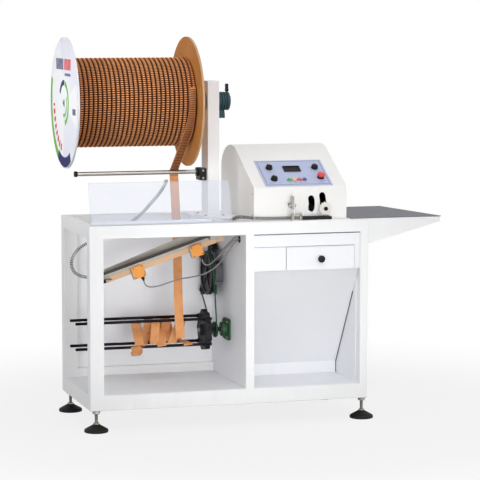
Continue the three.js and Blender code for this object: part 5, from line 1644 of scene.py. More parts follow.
@dataclass
class GuardAndTrough:
    """The clear front guard, the inclined trough and its two sensors."""

    shop: Workshop
    slope: float = math.atan(0.324)
    lean: float = math.atan2(55, 168)
    start: Flat = (70.0, 622.0)
    sensor_back: float = 91.7
    sensor_side: float = 50.0

    def build(self) -> None:
        """Makes the pieces."""
        self.guard()
        self.trough()
        self.sensor("low_sensor", "sensor_low", 130.0)
        self.sensor("high_sensor", "sensor_high", 392.0)
        spots = [(self.on_slope(u, 91.8, 6.5), (0, -1, 0)) for u in (30, 110, 232, 330, 480)]
        spots += [((34.0, 50.2, z), (0, -1, 0)) for z in (600, 618)]
        self.shop.screws("trough_screws", spots, 2.6, ZINC)

    def guard(self) -> None:
        """The clear pane on its seating strip."""
        facing = Vector((0, -math.cos(self.lean), math.sin(self.lean)))

        def edges(centre: Vector, way: Vector) -> int:
            """Edge finish where the face doesn't lie in the pane."""
            return int(abs(way.dot(facing)) < 0.8)

        self.shop.softened("guard_pane", [CLEAR, CLEAR_EDGE], 0.0, paint=edges)
        self.shop.softened("guard_strip", [SHEET_WHITE], 0.4)
        spots = [((x, 57, TABLE_SEAT), (0, 0, 1)) for x in (60, 270, 490)]
        self.shop.screws("guard_screws", spots, 4.0, ZINC)

    def trough(self) -> None:
        """The rolled trough with its black end plug and the brown rail."""

        def plug(centre: Vector, way: Vector) -> int:
            """Black where the end plug is, low on the trough's left end."""
            return int(centre.x < 91.5 and centre.y < 94.2 and centre.z < 627.5)

        self.shop.softened("trough", [TROUGH_SHEET, BLACK_PLASTIC], 0.5, paint=plug)
        self.shop.softened("trough_rail", [LAMINATE], 0.8)

    def on_slope(self, along: float, back: float, up: float) -> Vector:
        """A point given along the trough, to the back and up from its floor."""
        cos, sin = math.cos(self.slope), math.sin(self.slope)
        return Vector((self.start[0] + along * cos - up * sin, back, self.start[1] + along * sin + up * cos))

    def sensor(self, name: str, node: str, along: float) -> None:
        """A square sensor with its sensing face, label, screws and cable gland.

        Args:
            name: The piece's name.
            node: The solid that it stands for.
            along: Its place along the trough.
        """
        back, end = self.sensor_back, along + self.sensor_side
        front = back - 20
        shape = Shape().block((along, front, -46), (end, back, 4))
        shape.block((along + 4, front - 0.7, -42), (end - 4, front + 0.2, 0))
        shape.painted(1).block((end - 8, front + 2, -38), (end + 2, back - 2, -21))
        for u, w in ((5.5, -40.5), (44.5, -40.5), (5.5, -1.5), (44.5, -1.5)):
            head = [(0, 0), (2.5, 0), (2.5, -0.8), (1.8, -1.3), (0, -0.9)]
            shape.turned(Axis.Y, (along + u, front - 0.8, w), head, 14)
        gland = (end - 14, back - 10, 0)
        sleeve = [(0, -64), (3.4, -64), (4.2, -62), (5.6, -55), (5.6, -54), (8, -53.4), (8, -46), (0, -46)]
        shape.turned(Axis.Z, gland, sleeve, 12)
        shape.turned(Axis.Z, gland, [(8, -50), (9, -49.4), (9, -46.4), (8, -46)], 6)
        shape.mapped(lambda corner: self.on_slope(*corner))
        self.shop.piece(name, shape, [ORANGE, BLACK_PLASTIC], replaces=[node], bevel=0.9)


# Take-up drive


def belt_groove(radius: float, half: float) -> list[Flat]:
    """Rim of a belt pulley with a rounded groove, by its outer radius and half its width."""
    floor = radius - 4.8
    half_rim = [(radius - 0.6, half), (radius, half - 0.6), (radius, 4.1), (floor + 1.2, 2.9), (floor, 1.6)]
    return [(r, -h) for r, h in half_rim] + half_rim[::-1]


@dataclass
class TakeUpDrive:
    """The motor, the belt with its three pulleys, and the bearing of the reel."""

    shop: Workshop
    motor_place: Flat = (642.0, 440.0)
    motor_fins: int = 15
    fin_pitch: float = 6.6
    ribs: int = 5
    belt_wheels: Sequence[tuple[Flat, float]] = (
        (DRIVE_AXIS, 93.0),
        (REEL_AXIS, 32.0),
        (TENSIONER_AXIS, 22.0),
    )
    bearing_half: float = 46.0
    bearing_corner: float = 14.0
    bearing_bolts: float = 32.5

    def build(self) -> None:
        """Makes the drive's pieces."""
        self.motor()
        self.drive_wheel()
        self.tensioner()
        self.belt()
        self.bearing()

    def motor(self) -> None:
        """The gearbox, the finned motor on it and the terminal box."""
        x, y = self.motor_place
        case = [
            (356, 560), (460, 560), (466, 566), (466, 632), (458, 640), (358, 640), (350, 632), (350, 566),
        ]
        shape = Shape().drawn(Axis.X, case, 622, PARTITION_FACE)
        hub, gear = (0, *DRIVE_AXIS), (x, y, 0)
        boss = [(9, 617), (24, 617), (26, 618.5), (26, 622), (31, 622), (31, 624), (9, 624)]
        shape.turned(Axis.X, hub, boss, 56)
        shape.turned(Axis.X, hub, [(34, 620.4), (36, 620.4), (36, 622.2), (34, 622.2)], 56)
        shape.turned(Axis.Z, gear, [(0, 638), (23, 638), (23, 644), (21, 646), (21, 682), (0, 682)], 56)
        profile = [(0, 680), (21, 680)]
        for k in range(self.motor_fins):
            at = 682 + self.fin_pitch * k
            profile += [(21, at), (21, at + 2.4), (17.5, at + 2.9), (17.5, at + 6.1)]
        profile += [(21, 782), (21, 787), (18, 790), (0, 790)]
        shape.painted(1).turned(Axis.Z, gear, profile, 56)
        shape.painted(2).block((627, 401, 684), (657, 425, 710))
        gland = [(0, 362), (4, 362), (5, 364), (5, 372), (6, 373), (6, 395), (7.4, 395), (7.4, 401), (0, 401)]
        shape.turned(Axis.Y, (x, 0, 697), gland, 24)
        finishes = [MOTOR_GREY, BLACK_STEEL, BLACK_PLASTIC]
        self.shop.piece("gear_motor_unit", shape, finishes, replaces=["gear_motor"], bevel=0.9)
        heads = bolt_circle(622, DRIVE_AXIS, 31, (0.6, 2.2, 3.9, 5.4), -1)
        heads += [((622, y, z), Axis.X, -1) for y in (430, 456) for z in (572, 626)]
        self.shop.hex_heads("gearbox_bolts", heads, 3.6, ZINC)
        screws = [((x, 401, z), (0, -1, 0)) for x in (630, 654) for z in (687.5, 706.5)]
        self.shop.screws("terminal_box_screws", screws, 1.8, ZINC)

    def drive_wheel(self) -> None:
        """The webbed drive pulley with its ribs."""
        middle = Vector((BELT_PLANE, *DRIVE_AXIS))
        profile = [
            (0, -11.4), (8, -11.4), (9, -10.6), (21, -11), (22, -10), (22, -5), (24, -3), (80, -3), (82, -4),
            (82, -8.5), *belt_groove(94, 8.5), (82, 8.5), (82, 4), (80, 3), (24, 3), (22, 5), (22, 11),
            (8, 11), (8, 12.5), (0, 12.5),
        ]
        shape = Shape().turned(Axis.X, middle, profile, 96)
        for k in range(self.ribs):
            turn = 2 * math.pi * (k + 0.3) / self.ribs
            way = Vector((0, math.cos(turn), math.sin(turn)))
            flat = Vector((0, -math.sin(turn), math.cos(turn)))
            for side in (-1, 1):
                shape.skin([
                    [
                        middle + way * reach + flat * w + Vector((side * h, 0, 0))
                        for w, h in ((-3, 2.6), (3, 2.6), (2, high), (-2, high))
                    ]
                    for reach, high in ((20, 8.5), (83, 5.2))
                ])
        self.shop.piece("drive_wheel", shape, [BLACK_STEEL], Body.DRIVE_PULLEY, ["drive_pulley"])
        bolt = [((BELT_PLANE - 11.4, *DRIVE_AXIS), Axis.X, -1)]
        self.shop.hex_heads("drive_wheel_bolt", bolt, 5.5, ZINC, Body.DRIVE_PULLEY)

    def tensioner(self) -> None:
        """The tensioner pulley on the pin of its bracket."""
        y, z = TENSIONER_AXIS
        rim = [(4.4, -6), *belt_groove(23, 6), (4.4, 6)]
        wheel = Shape().turned(Axis.X, (BELT_PLANE, y, z), rim, 56)
        self.shop.piece("tensioner_wheel", wheel, [BLACK_PLASTIC], Body.TENSIONER, ["tensioner_pulley"])
        outline = ((-22, -18), (-18, -22), (18, -22), (22, -18), (22, 18), (18, 22), (-18, 22), (-22, 18))
        shape = Shape().drawn(Axis.X, [(y + a, z + b) for a, b in outline], 660, PARTITION_FACE)
        pin = [
            (0, 594), (7.4, 594), (8, 594.8), (8, 600.6), (4, 600.7), (4, 613.3), (8, 613.4), (8, 636),
            (10, 637), (10, 660.2), (0, 660.2),
        ]
        shape.turned(Axis.X, (0, y, z), pin, 32)
        shape.painted(1).turned(Axis.X, (0, y, z), [(7, 593), (7.6, 590.5), (0, 589.5)], 6)
        finishes = [BLACK_STEEL, ZINC]
        self.shop.piece("tensioner_arm", shape, finishes, replaces=["tensioner_bracket"], bevel=0.8)
        bolts = [((660, y + a, z + a), Axis.X, -1) for a in (-16, 16)]
        self.shop.hex_heads("tensioner_bolts", bolts, 3.4, ZINC)

    def belt(self) -> None:
        """The round belt in its plane, which touches the three pulleys."""
        wheels = self.belt_wheels
        leave = []
        for ((y, z), radius), ((next_y, next_z), next_radius) in zip(wheels, [*wheels[1:], wheels[0]]):
            away = math.atan2(next_z - z, next_y - y)
            leave.append(away - math.acos((radius - next_radius) / math.hypot(next_y - y, next_z - z)))
        path = []
        for k, (middle, radius) in enumerate(wheels):
            start = leave[k - 1]
            turn = (leave[k] - start) % (2 * math.pi)
            count = max(6, round(turn * radius / 3.0))
            arc = round_points(middle, radius, [start + turn * i / count for i in range(count + 1)])
            path += [Vector((BELT_PLANE, *spot)) for spot in arc]
        shape = Shape().tube(path, 3.0, 12, True)
        self.shop.piece("round_belt", shape, [BELT_GREEN], replaces=["drive_belt"])

    def bearing(self) -> None:
        """The green flange bearing with its steel ring and bolts."""
        y, z = REEL_AXIS
        middle, corner = (0, y, z), self.bearing_corner
        signs = ((1, 1), (-1, 1), (-1, -1), (1, -1))
        outline = []
        for a, b in signs:
            turns = [math.atan2(b, a) + math.radians(15 * k - 45) for k in range(7)]
            reach = self.bearing_half - corner
            outline += round_points((y + a * reach, z + b * reach), corner, turns)
        shape = Shape().plate(Axis.X, outline, [circle(REEL_AXIS, 9.6, 24)], 655.5, PARTITION_FACE)
        dome = [(9.5, 632), (27, 632), (29.5, 633), (31, 636), (31, 648), (34, 653), (40, 656), (9.5, 656)]
        shape.turned(Axis.X, middle, dome, 64)
        shape.turned(Axis.X, middle, [(9.5, 655.6), (41, 655.6), (41, 654.2), (38, 653.8), (9.5, 653.8)], 64)
        mounts = [(y + self.bearing_bolts * a, z + self.bearing_bolts * b) for a, b in signs]
        for spot in mounts:
            shape.turned(Axis.X, (0, *spot), [(10, 656), (10, 652.8), (9, 652), (0, 652)], 28)
        ring = [(9.4, 632.2), (14, 632.2), (14.6, 631), (17, 631), (17, 633), (9.4, 633)]
        shape.painted(1).turned(Axis.X, middle, ring, 40)
        self.shop.piece("flange_bearing", shape, [GREEN_CAST, STEEL], replaces=["bearing_housing"], bevel=0.7)
        self.shop.hex_heads("bearing_mount_bolts", [((652, *spot), Axis.X, -1) for spot in mounts], 5.2, ZINC)


# Take-up reel and paper


@dataclass
class TakeUpReel:
    """The lobed disc with its rods, the shaft, and the paper on them."""

    shop: Workshop
    lobes: int = 9
    disc_radius: float = 84.0
    disc_faces: Flat = (551.0, 571.0)
    rod_offset: float = 54.0
    rod_radius: float = 6.25
    paper_wide: float = 38.0
    rung_pitch: float = 9.2
    strip_x: float = 430.0

    def build(self) -> None:
        """Makes the reel's pieces."""
        self.disc()
        self.rods()
        self.spindle()
        self.turns()
        self.roll()
        self.strip()

    def disc(self) -> None:
        """The lobed disc with a hub and a raised ring on each face."""
        (y, z), (left, right) = REEL_AXIS, self.disc_faces
        outline = []
        for k in range(180):
            turn = 2 * math.pi * k / 180
            lobe = 4 * math.cos(self.lobes * turn) + 0.7 * math.cos(2 * self.lobes * turn)
            outline += round_points(REEL_AXIS, self.disc_radius + lobe, [turn])
        shape = Shape().plate(Axis.X, outline, [circle(REEL_AXIS, 9.4, 24)], left, right)
        hub = ((9.4, 0), (28, 0), (26, 2), (24, 4), (24, 12.5), (22.6, 14), (9.4, 14))
        rim = ((69, -0.4), (65, -0.4), (66, 1.8), (72, 1.8), (73, -0.4), (69, -0.3))
        for face, way in ((left, -1), (right, 1)):
            shape.turned(Axis.X, (face, y, z), [(r, way * h) for r, h in hub], 56)
            shape.turned(Axis.X, (face, y, z), [(r, way * h) for r, h in rim], 96)
        self.shop.piece("reel_disc", shape, [BLACK_STEEL], Body.REEL, ["reel_spider"], bevel=1.6)

    def rods(self) -> None:
        """The four rods that the paper winds on, and their nuts."""
        (y, z), radius, reach = REEL_AXIS, self.rod_radius, self.rod_offset
        spots = [(y + a * reach, z + b * reach) for a, b in ((-1, -1), (1, -1), (1, 1), (-1, 1))]
        rods = Shape()
        for spot in spots:
            profile = [(0, -12), (radius - 1.05, -12), (radius, -11), (radius, 577), (0, 577)]
            rods.turned(Axis.X, (0, *spot), profile, 28)
        self.shop.piece("reel_rods", rods, [BLACKENED], Body.REEL)
        nuts = [((self.disc_faces[0] - 2.6, *spot), Axis.X, -1) for spot in spots]
        self.shop.hex_heads("rod_nuts", nuts, 8.6, BLACKENED, Body.REEL)

    def spindle(self) -> None:
        """The shaft with the reel's belt pulley and its end nut."""
        groove = [(radius, height + BELT_PLANE) for radius, height in belt_groove(33, 6)]
        profile = [
            (0, 537), (8, 537), (9, 538), (9, 601), (28, 601), *groove, (28, 613), (9, 613), (9, 661.7),
            (0, 661.7),
        ]
        shaft = Shape().turned(Axis.X, (0, *REEL_AXIS), profile, 56)
        self.shop.piece("reel_spindle", shaft, [BLACK_STEEL], Body.REEL, ["reel_shaft"])
        self.shop.hex_heads("spindle_nut", [((537, *REEL_AXIS), Axis.X, -1)], 7.5, ZINC, Body.REEL)

    def turns(self) -> None:
        """Loose turns of paper round the rods, each leaning its own way and sagging a little."""
        reach, side, half = self.rod_radius + 1.3, 2 * self.rod_offset, self.paper_wide / 2
        quarter = math.pi / 2
        fine_arc, fine_run, loops = 8, 12, 2
        rings = []
        for k in range(loops * 4 * (fine_arc + fine_run) + 1):
            corner, step = divmod(k, fine_arc + fine_run)
            on_arc = min(step / fine_arc, 1.0)
            on_run = max(0, step - fine_arc) / fine_run
            outward, onward = round_ways(quarter * (corner + on_arc))
            rod = round_ways(quarter * (corner - 0.5))[0] * (self.rod_offset * math.sqrt(2))
            share = (corner + (reach * quarter * on_arc + side * on_run) / (reach * quarter + side)) / 4
            swing = 2 * math.pi * share + 0.9
            lean = 14.0 * math.sin(swing) * (1 if corner < 4 else -0.8)
            slack = (3.0 + 2.0 * math.sin(corner * 1.7)) * math.sin(math.pi * on_run)
            centre = rod + outward * (reach + slack) + onward * (side * on_run)
            centre += Vector((462 - 95 * share + lean, *REEL_AXIS))
            curl = 1.1 * math.sin(5 * share + corner)
            tilt = Vector((math.cos(0.05 * curl), 0, 0)) + onward * (0.16 * math.cos(swing))
            low = curl - 0.5
            section = ((-half, curl), (0, 0.25), (half, curl), (half, low), (0, -0.25), (-half, low))
            rings.append([centre + tilt * a + outward * b for a, b in section])
        shape = Shape().skin(rings)
        self.shop.piece("loose_paper_turns", shape, [PAPER], Body.REEL, ["reel_paper"], smooth=50.0)

    def roll(self) -> None:
        """The curled end of the paper, which hangs below the lower front rod."""
        drop = self.rod_offset + 12.0
        centre = Vector((250.0, REEL_AXIS[0] - drop, REEL_AXIS[1] - drop))
        axis = Vector((0.93, -0.33, 0.14)).normalized()
        flat = axis.cross(Vector((0, 0, 1))).normalized()
        rise = flat.cross(axis)
        half, steps, curls = self.paper_wide / 2, 120, 3.1
        rings = []
        for k in range(steps + 1):
            turn = -0.6 + 2 * math.pi * curls * k / steps
            radius = 8.0 + 14.0 * k / steps + 0.9 * math.sin(3 * turn)
            way = flat * math.cos(turn) + rise * math.sin(turn)
            middle = centre + way * radius + axis * (4.0 - 12.0 * k / steps)
            section = ((-half, -0.3), (-half, 0.3), (half, 0.3), (half, -0.3))
            rings.append([middle + axis * a + way * b for a, b in section])
        self.shop.piece("curled_paper_end", Shape().skin(rings), [PAPER], Body.REEL, smooth=50.0)

    def strip(self) -> None:
        """The paper from the spool to the reel, with wire still on it down to the guide bar."""
        path, wire_end = self.strip_path()
        half = self.paper_wide / 2
        rings = []
        for k, point in enumerate(path):
            along = path[min(k + 1, len(path) - 1)] - path[max(k - 1, 0)]
            along.x = 0
            along.normalize()
            normal = Vector((0, -along.z, along.y))
            wide = self.width_share(k)
            across = ((-half, 0.5), (-9, 0.1), (9, 0.1), (half, 0.5), (half, -0.1), (-half, -0.1))
            rings.append([point + Vector((u * wide, 0, 0)) + normal * v for u, v in across])
        self.shop.piece("paper_web", Shape().skin(rings), [PAPER], replaces=["paper_strip"], smooth=50.0)
        rungs = Shape()
        line = even(path[: wire_end + 2], self.rung_pitch)
        bow = ((-16, 0.9), (-8, 2.6), (0, 3.2), (8, 2.4), (16, 0.9))
        for k in range(1, len(line) - 1):
            along = (line[k + 1] - line[k - 1]).normalized()
            normal = Vector((0, along.z, -along.y)).normalized()
            wide = self.width_share(24 * k * self.rung_pitch / 90.0)
            for offset in (-1.25, 1.25):
                middle = line[k] + along * offset
                rungs.tube([middle + Vector((u * wide, 0, 0)) + normal * h for u, h in bow], 1.0, 5)
        self.shop.piece("wire_on_paper", rungs, [STRIP_WIRE], smooth=80.0)

    def strip_path(self) -> tuple[list[Vector], int]:
        """The strip's middle line from the winding over the roller to the reel.

        Returns:
            The line, and the number of its points above the roller.
        """
        winding = math.hypot(180, 22) + 8
        spool, roller, reel = (SPOOL_AXIS[1], winding), (ROLLER_AXIS[1], 10.1), (REEL_AXIS[1], 90.0)
        up = math.asin((spool[1] + roller[1]) / (spool[0] - roller[0]))
        down = math.asin((roller[1] + reel[1]) / (roller[0] - reel[0]))

        def at(wheel: Flat, angle: float, x: float = self.strip_x) -> Vector:
            """A point on a wheel of a given height and radius."""
            return Vector((x, *round_points((MIDDLE.y, wheel[0]), wheel[1], [angle])[0]))

        path = [at(spool, math.pi - 0.35 + (up + 0.35) * k / 24, 464 - 13 * k / 24) for k in range(25)]
        leave, meet = path[-1], at(roller, up)
        path += [leave.lerp(meet, k / 14) for k in range(1, 14)]
        wire_end = len(path)
        path += [at(roller, up - (down + up) * k / 10) for k in range(11)]
        top, low = path[-1], at(reel, math.pi - down)
        for k in range(1, 40):
            share = k / 40
            slack = Vector((2.5 * math.sin(5.0 * share), 1.6 * math.sin(math.pi * share), 0))
            path.append(top.lerp(low, share) + slack)
        path += [at(reel, math.pi - down + 0.35 * k / 8) for k in range(9)]
        return path, wire_end

    @staticmethod
    def width_share(step: float) -> float:
        """The share of its width that the strip shows as it leaves the winding."""
        return min(1.0, 0.55 + 0.45 * step / 24)


# Cutting head


@dataclass
class CuttingHead:
    """The housing with its control panel, and the feeding parts in front of it.

    Places on the panel are given along it and up it.
    """

    shop: Workshop
    slope: float = math.atan2(152.0, 285.0)
    face: float = 3.3
    ink: float = 0.12
    speed_dial: Flat = (816, 142)
    length_dial: Flat = (1017, 139)
    selector_dial: Flat = (815, 54)
    stop_button: Flat = (1023, 63)
    button_row: float = 48.0
    buttons_along: Sequence[tuple[Body, float, Finish]] = (
        (Body.GREEN_BUTTON, 880, GREEN_LENS),
        (Body.AMBER_BUTTON, 903, AMBER_LENS),
        (Body.RED_BUTTON, 925, RED_LENS),
        (Body.BLUE_BUTTON, 947, BLUE_LENS),
    )
    teeth: int = 16

    def build(self) -> None:
        """Makes the head's pieces."""
        self.housing()
        self.panel()
        self.scales()
        self.lettering()
        self.display()
        self.bezels()
        self.knobs()
        self.buttons()
        self.feed()
        self.swing_arm()
        self.feed_wheel()

    def on_panel(self, along: float, up: float, out: float) -> Vector:
        """A point on the sloping panel, given along it, up it and out of it."""
        cos, sin = math.cos(self.slope), math.sin(self.slope)
        return Vector((along, 50 + up * cos - out * sin, 988 + up * sin + out * cos))

    def on_face(self, shape: Shape) -> Shape:
        """Sets a shape that was drawn flat onto the panel."""
        return shape.mapped(lambda corner: self.on_panel(*corner))

    def housing(self) -> None:
        """The folded housing, painted outside, with near black on its inside faces as painted shade."""
        inside = Vector((916.0, 300.0, 990.0))

        def inward_painted_shade(centre: Vector, way: Vector) -> int:
            """1 on the faces that look inwards, which take the painted shade."""
            within = 715 < centre.x < 1118 and 51.5 < centre.y < 544.5
            return int(within and way.dot(inside - centre) > 0)

        self.shop.softened("head_housing", [HEAD_WHITE, PAINTED_SHADE_INSIDE], 0.9, paint=inward_painted_shade, smooth=38.0)
        sides = ((712.9, -1), (1120.1, 1))
        spots = [((x, y, z), (way, 0, 0)) for x, way in sides for y in (70, 525) for z in (872, 960)]
        self.shop.screws("housing_screws", spots, 3.4, ZINC)

    def panel(self) -> None:
        """The panel plate and its printed border."""

        def corners(left: float, low: float, right: float, high: float) -> list[Flat]:
            """The corners of an upright rectangle."""
            return [(left, low), (right, low), (right, high), (left, high)]

        plate = self.on_face(Shape().plate(Axis.Z, corners(766, 6, 1061, 205), [], 0.3, self.face))
        self.shop.piece("panel_plate", plate, [PANEL_BLUE], replaces=["control_panel"], bevel=0.5)
        outer, inner = corners(775, 14, 1052, 197), corners(777, 16, 1050, 195)
        border = Shape().plate(Axis.Z, outer, [inner], self.face, self.face + 0.15)
        self.shop.piece("panel_border", self.on_face(border), [PANEL_LINE])

    def scales(self) -> None:
        """The strokes round the dials and the short bars over and under the parts."""
        marks, top = Shape(), self.face + self.ink
        for (u, v), low, high, count in (
            (self.speed_dial, -225, 45, 11),
            (self.length_dial, -225, 45, 11),
            (self.selector_dial, 20, 160, 2),
        ):
            for k in range(count):
                turn = math.radians(low + (high - low) * k / (count - 1))
                cos, sin = math.cos(turn), math.sin(turn)
                spoke = ((17.5, -0.5), (21.5, -0.5), (21.5, 0.5), (17.5, 0.5))
                flat = [(u + r * cos - w * sin, v + r * sin + w * cos) for r, w in spoke]
                marks.drawn(Axis.Z, flat, self.face, top)
        for _, x, _ in self.buttons_along:
            marks.block((x - 6, 29, self.face), (x + 6, 30.6, top))
        for x, v, half in ((913, 106, 26), (913, 158, 30), (816, 115, 12), (1017, 112, 12), (1023, 38, 12)):
            marks.block((x - half, v, self.face), (x + half, v + 1.2, top))
        self.shop.piece("panel_scales", self.on_face(marks), [PANEL_LINE])

    def lettering(self) -> None:
        """Plain words and numbers printed on the panel."""
        turn = Matrix.Rotation(self.slope, 4, "X")
        words = [
            ("0", 795, 120), ("10", 830, 120), ("0", 996, 117), ("10", 1031, 117), ("OFF", 786, 26),
            ("ON", 830, 26), *((str(k + 1), x - 2, 18.5) for k, (_, x, _) in enumerate(self.buttons_along)),
            ("STOP", 1010, 26),
        ]
        for number, (word, x, up) in enumerate(words):
            curve = bpy.data.curves.new(f"panel_word_{number}", "FONT")
            curve.body = word
            curve.size = 7.0 / METRE
            curve.extrude = 0.06 / METRE
            raw = put(f"panel_word_source_{number}", curve)
            bpy.context.view_layer.update()
            mesh = bpy.data.meshes.new_from_object(raw.evaluated_get(bpy.context.evaluated_depsgraph_get()))
            bpy.data.objects.remove(raw)
            bpy.data.curves.remove(curve)
            mesh.transform(Matrix.Translation(self.shop.place(self.on_panel(x, up, self.face + 0.06))) @ turn)
            mesh.materials.clear()
            mesh.materials.append(PANEL_LINE.material())
            made = put(f"panel_word_{number}", mesh)
            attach(made, Body.MACHINE.value)
            self.shop.report(made, Body.MACHINE)

    def display(self) -> None:
        """The display's frame and window, and four seven-segment digits behind it."""
        frame = Shape()
        for low, high in (
            ((877, 113), (950, 117.5)),
            ((877, 149.5), (950, 154)),
            ((877, 117.5), (881.5, 149.5)),
            ((945.5, 117.5), (950, 149.5)),
        ):
            frame.block((*low, 2.0), (*high, self.face + 5))
        window = self.face + 2.5
        frame.painted(1).block((881, 117, 2.4), (946, 150, window))
        self.shop.piece("display_frame", self.on_face(frame), [BLACK_PLASTIC, DISPLAY], bevel=0.6)
        bars = [(0, 10.2 * k, 9, 10.2 * k + 1.6) for k in range(3)]
        bars += [(8.6 + s - 0.4, v, 9.4 + s + 0.4, v + 8.2) for s in (-9, 0) for v in (1.8, 12)]
        digits = Shape()
        for k in range(4):
            x, v = 886.5 + 14.6 * k, 122.5
            for a, b, c, d in bars:
                digits.block((x + a, v + b, window), (x + c, v + d, window + 0.15))
        self.shop.piece("display_digits", self.on_face(digits), [DIGIT])

    def bezels(self) -> None:
        """The rings round the buttons, and the panel's corner screws."""
        rings = Shape()
        for _, x, _ in self.buttons_along:
            ring = [(8.4, 2), (10.5, 2), (10.5, 5), (9.8, 5.8), (8.4, 5.8)]
            rings.turned(Axis.Z, (x, self.button_row, 0), ring, 40)
        collar = [(9.5, 2), (15, 2), (15, 7), (14, 8.3), (9.5, 8.3)]
        rings.painted(1).turned(Axis.Z, (*self.stop_button, 0), collar, 48)
        self.shop.piece("button_bezels", self.on_face(rings), [STEEL, BLACK_PLASTIC])
        outward = self.on_panel(0, 0, 1) - self.on_panel(0, 0, 0)
        spots = [(self.on_panel(x, y, self.face), outward) for x in (770.5, 1056.5) for y in (10, 201)]
        self.shop.screws("panel_screws", spots, 2.2, ZINC)

    def knobs(self) -> None:
        """The two speed knobs and the selector."""
        self.knob("speed_dial", Body.SPEED_KNOB, self.speed_dial, 0.6)
        self.knob("length_dial", Body.LENGTH_KNOB, self.length_dial, -0.3)
        self.knob("selector_dial", Body.SELECTOR_KNOB, self.selector_dial, 0.15)

    def knob(self, name: str, body: Body, spot: Flat, turn: float) -> None:
        """A fluted knob with its pointer.

        Args:
            name: The piece's name.
            body: The body that it rides on, whose solid has the same name.
            spot: Its place on the panel.
            turn: The angle of its pointer at rest.
        """

        def flutes(around: float, height: float) -> float:
            """Draws the grip in between its flutes."""
            return 1 - 0.045 * (height > 4) * (math.cos(18 * around) > 0.2)

        base = self.face + 0.3
        profile = [
            (0, 0.3 - base), (4, 0.3 - base), (4, 0), (14.6, 0), (15, 0.5), (15, 2.2), (14.2, 3.4),
            (13.8, 4.4), (13.2, 12.6), (12.2, 14.2), (10.2, 14.8), (0, 14.8),
        ]
        shape = Shape().turned(Axis.Z, (0, 0, base), profile, 72, flutes)
        shape.block((-2.4, -11.4, base + 13.5), (2.4, 11.4, base + 18.2))
        shape.painted(1).block((-0.8, 1.5, base + 18.2), (0.8, 11.2, base + 18.45))
        shape.mapped(lambda corner: Matrix.Rotation(turn, 3, "Z") @ corner + Vector((*spot, 0)))
        finishes = [BLACK_PLASTIC, PANEL_WHITE]
        self.shop.piece(name, self.on_face(shape), finishes, body, [body.value], bevel=0.4)

    def buttons(self) -> None:
        """The four push buttons and the emergency button."""
        lens = [(0, -12), (8, -12), (8, 9.6), (7.4, 10.6), (6.4, 10.8), (5.6, 10.2), (0, 10.0)]
        for body, x, finish in self.buttons_along:
            shape = self.on_face(Shape().turned(Axis.Z, (x, self.button_row, 0), lens, 48))
            self.shop.piece(body.value + "_lens", shape, [finish], body, [body.value])
        neck = self.face + 10.3
        crown = ((14.4, 0), (16.4, 1), (17, 3), (17, 7.5), (16, 9.6), (13.5, 10.8), (8, 11.6), (0, 12))
        head = [(0, -12), (9, -12), (9, neck), *((radius, neck + height) for radius, height in crown)]
        shape = self.on_face(Shape().turned(Axis.Z, (*self.stop_button, 0), head, 64))
        body = Body.EMERGENCY_BUTTON
        self.shop.piece("stop_button_head", shape, [STOP_RED], body, [body.value])

    def feed(self) -> None:
        """The base with its wire channel and the guide post."""
        shop = self.shop
        shop.softened("feed_base", [BLACK_STEEL], 1.0)
        shop.screws("feed_base_screws", [((x, 39, 865.7), (0, 0, 1)) for x in (922, 977, 1032)], 2.8, ZINC)
        shop.softened("guide_post", [ZINC], 1.2)
        spots = [((868, 6, 880.7), (0, 0, 1)), ((903, 0.4, 872), (0, -1, 0))]
        shop.screws("guide_post_screws", spots, 2.6, BLACKENED)

    def swing_arm(self) -> None:
        """The hand lever with its square plate; the arm itself is inside the housing."""
        shop, (x, z), body = self.shop, SWING_AXIS, Body.SWING_ARM

        def hidden(centre: Vector, way: Vector) -> int:
            """1 on the arm's part in the housing, which takes the painted shade."""
            return int(centre.y > 50)

        shop.softened("swing_arm", [ZINC, PAINTED_SHADE_INSIDE], 0.7, body, hidden, smooth=36.0)
        star = ((1, 0), (0.35, 0.7), (0, 1), (-0.35, 0.7), (-1, 0), (-0.3, -0.75), (0, -1), (0.3, -0.75))
        plate = Shape().plate(Axis.Y, [(x + 17 * a, z + 21 * b) for a, b in star], [], 6.6, 9.8)
        plate.turned(Axis.Y, (x, 0, z), [(0, 2.8), (5.4, 2.8), (6, 3.6), (6, 6.8), (0, 6.8)], 32)
        shop.piece("hand_lever_plate", plate, [STEEL], body, bevel=0.8)
        spots = [((x + a, 6.4, z + b), (0, -1, 0)) for a, b in ((-8, 8), (9, -2), (-6, -8))]
        shop.screws("hand_lever_screws", spots, 2.8, BLACKENED, body)
        profile = [(0, 873), (2.4, 873), (2.4, 948), (3.4, 949), (3.4, 953), (0, 954)]
        rod = Shape().turned(Axis.Z, (x + 7, 5.0, 0), profile, 20)
        shop.piece("hand_lever_rod", rod, [CHROME], body)

    def feed_wheel(self) -> None:
        """The white toothed wheel with its dark hub."""
        middle = round_points(SWING_AXIS, 148, [-0.122])[0]
        tooth = (
            (0.0, 24.4), (0.12, 25.0), (0.22, 28.6), (0.27, 29.5), (0.43, 29.5), (0.48, 28.6), (0.58, 25.0),
            (0.7, 24.4),
        )
        outline = []
        for k in range(self.teeth):
            for share, radius in tooth:
                outline += round_points(middle, radius, [2 * math.pi * (k + share) / self.teeth])
        shape = Shape().plate(Axis.Y, outline, [circle(middle, 6.4, 24)], 12.0, 22.0)
        x, z = middle
        shape.turned(Axis.Y, (x, 0, z), [(6.4, 12.2), (15, 12.2), (14, 11.2), (6.4, 11.2)], 48)
        self.shop.piece("toothed_wheel", shape, [NYLON], Body.FEED_WHEEL, ["feed_wheel"], bevel=0.7)
        hub = Shape().turned(Axis.Y, (x, 0, z), [(0, 4.6), (7, 4.6), (8.6, 5.8), (8.6, 10.9), (0, 10.9)], 40)
        self.shop.piece("wheel_hub_nut", hub, [BLACKENED], Body.SWING_ARM)


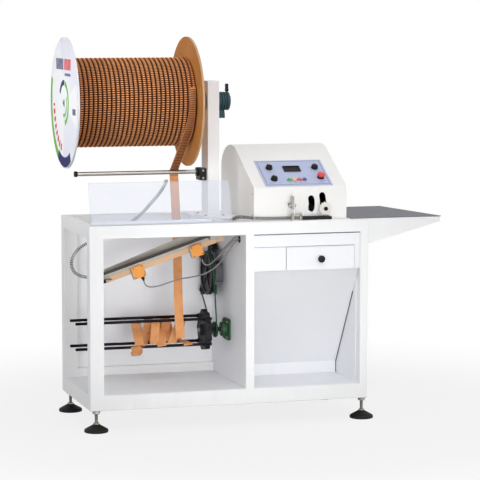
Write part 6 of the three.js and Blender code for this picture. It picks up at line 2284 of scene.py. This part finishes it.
def main() -> None:
    """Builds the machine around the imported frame."""
    logging.basicConfig(level=logging.INFO, format="%(message)s")
    bpy.ops.wm.read_factory_settings(use_empty=True)
    bpy.context.scene.view_settings.view_transform = "Standard"
    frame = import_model()
    shop = Workshop(frame)
    parts = (
        Studio, Cords, Table, SpoolStand, Spool, GuardAndTrough, TakeUpDrive, TakeUpReel, CuttingHead,
    )
    for part in parts:
        part(shop).build()
        log.info("%s done", part.__name__)
    log.info("%d pieces", shop.count)


if __name__ == "__main__":
    main()
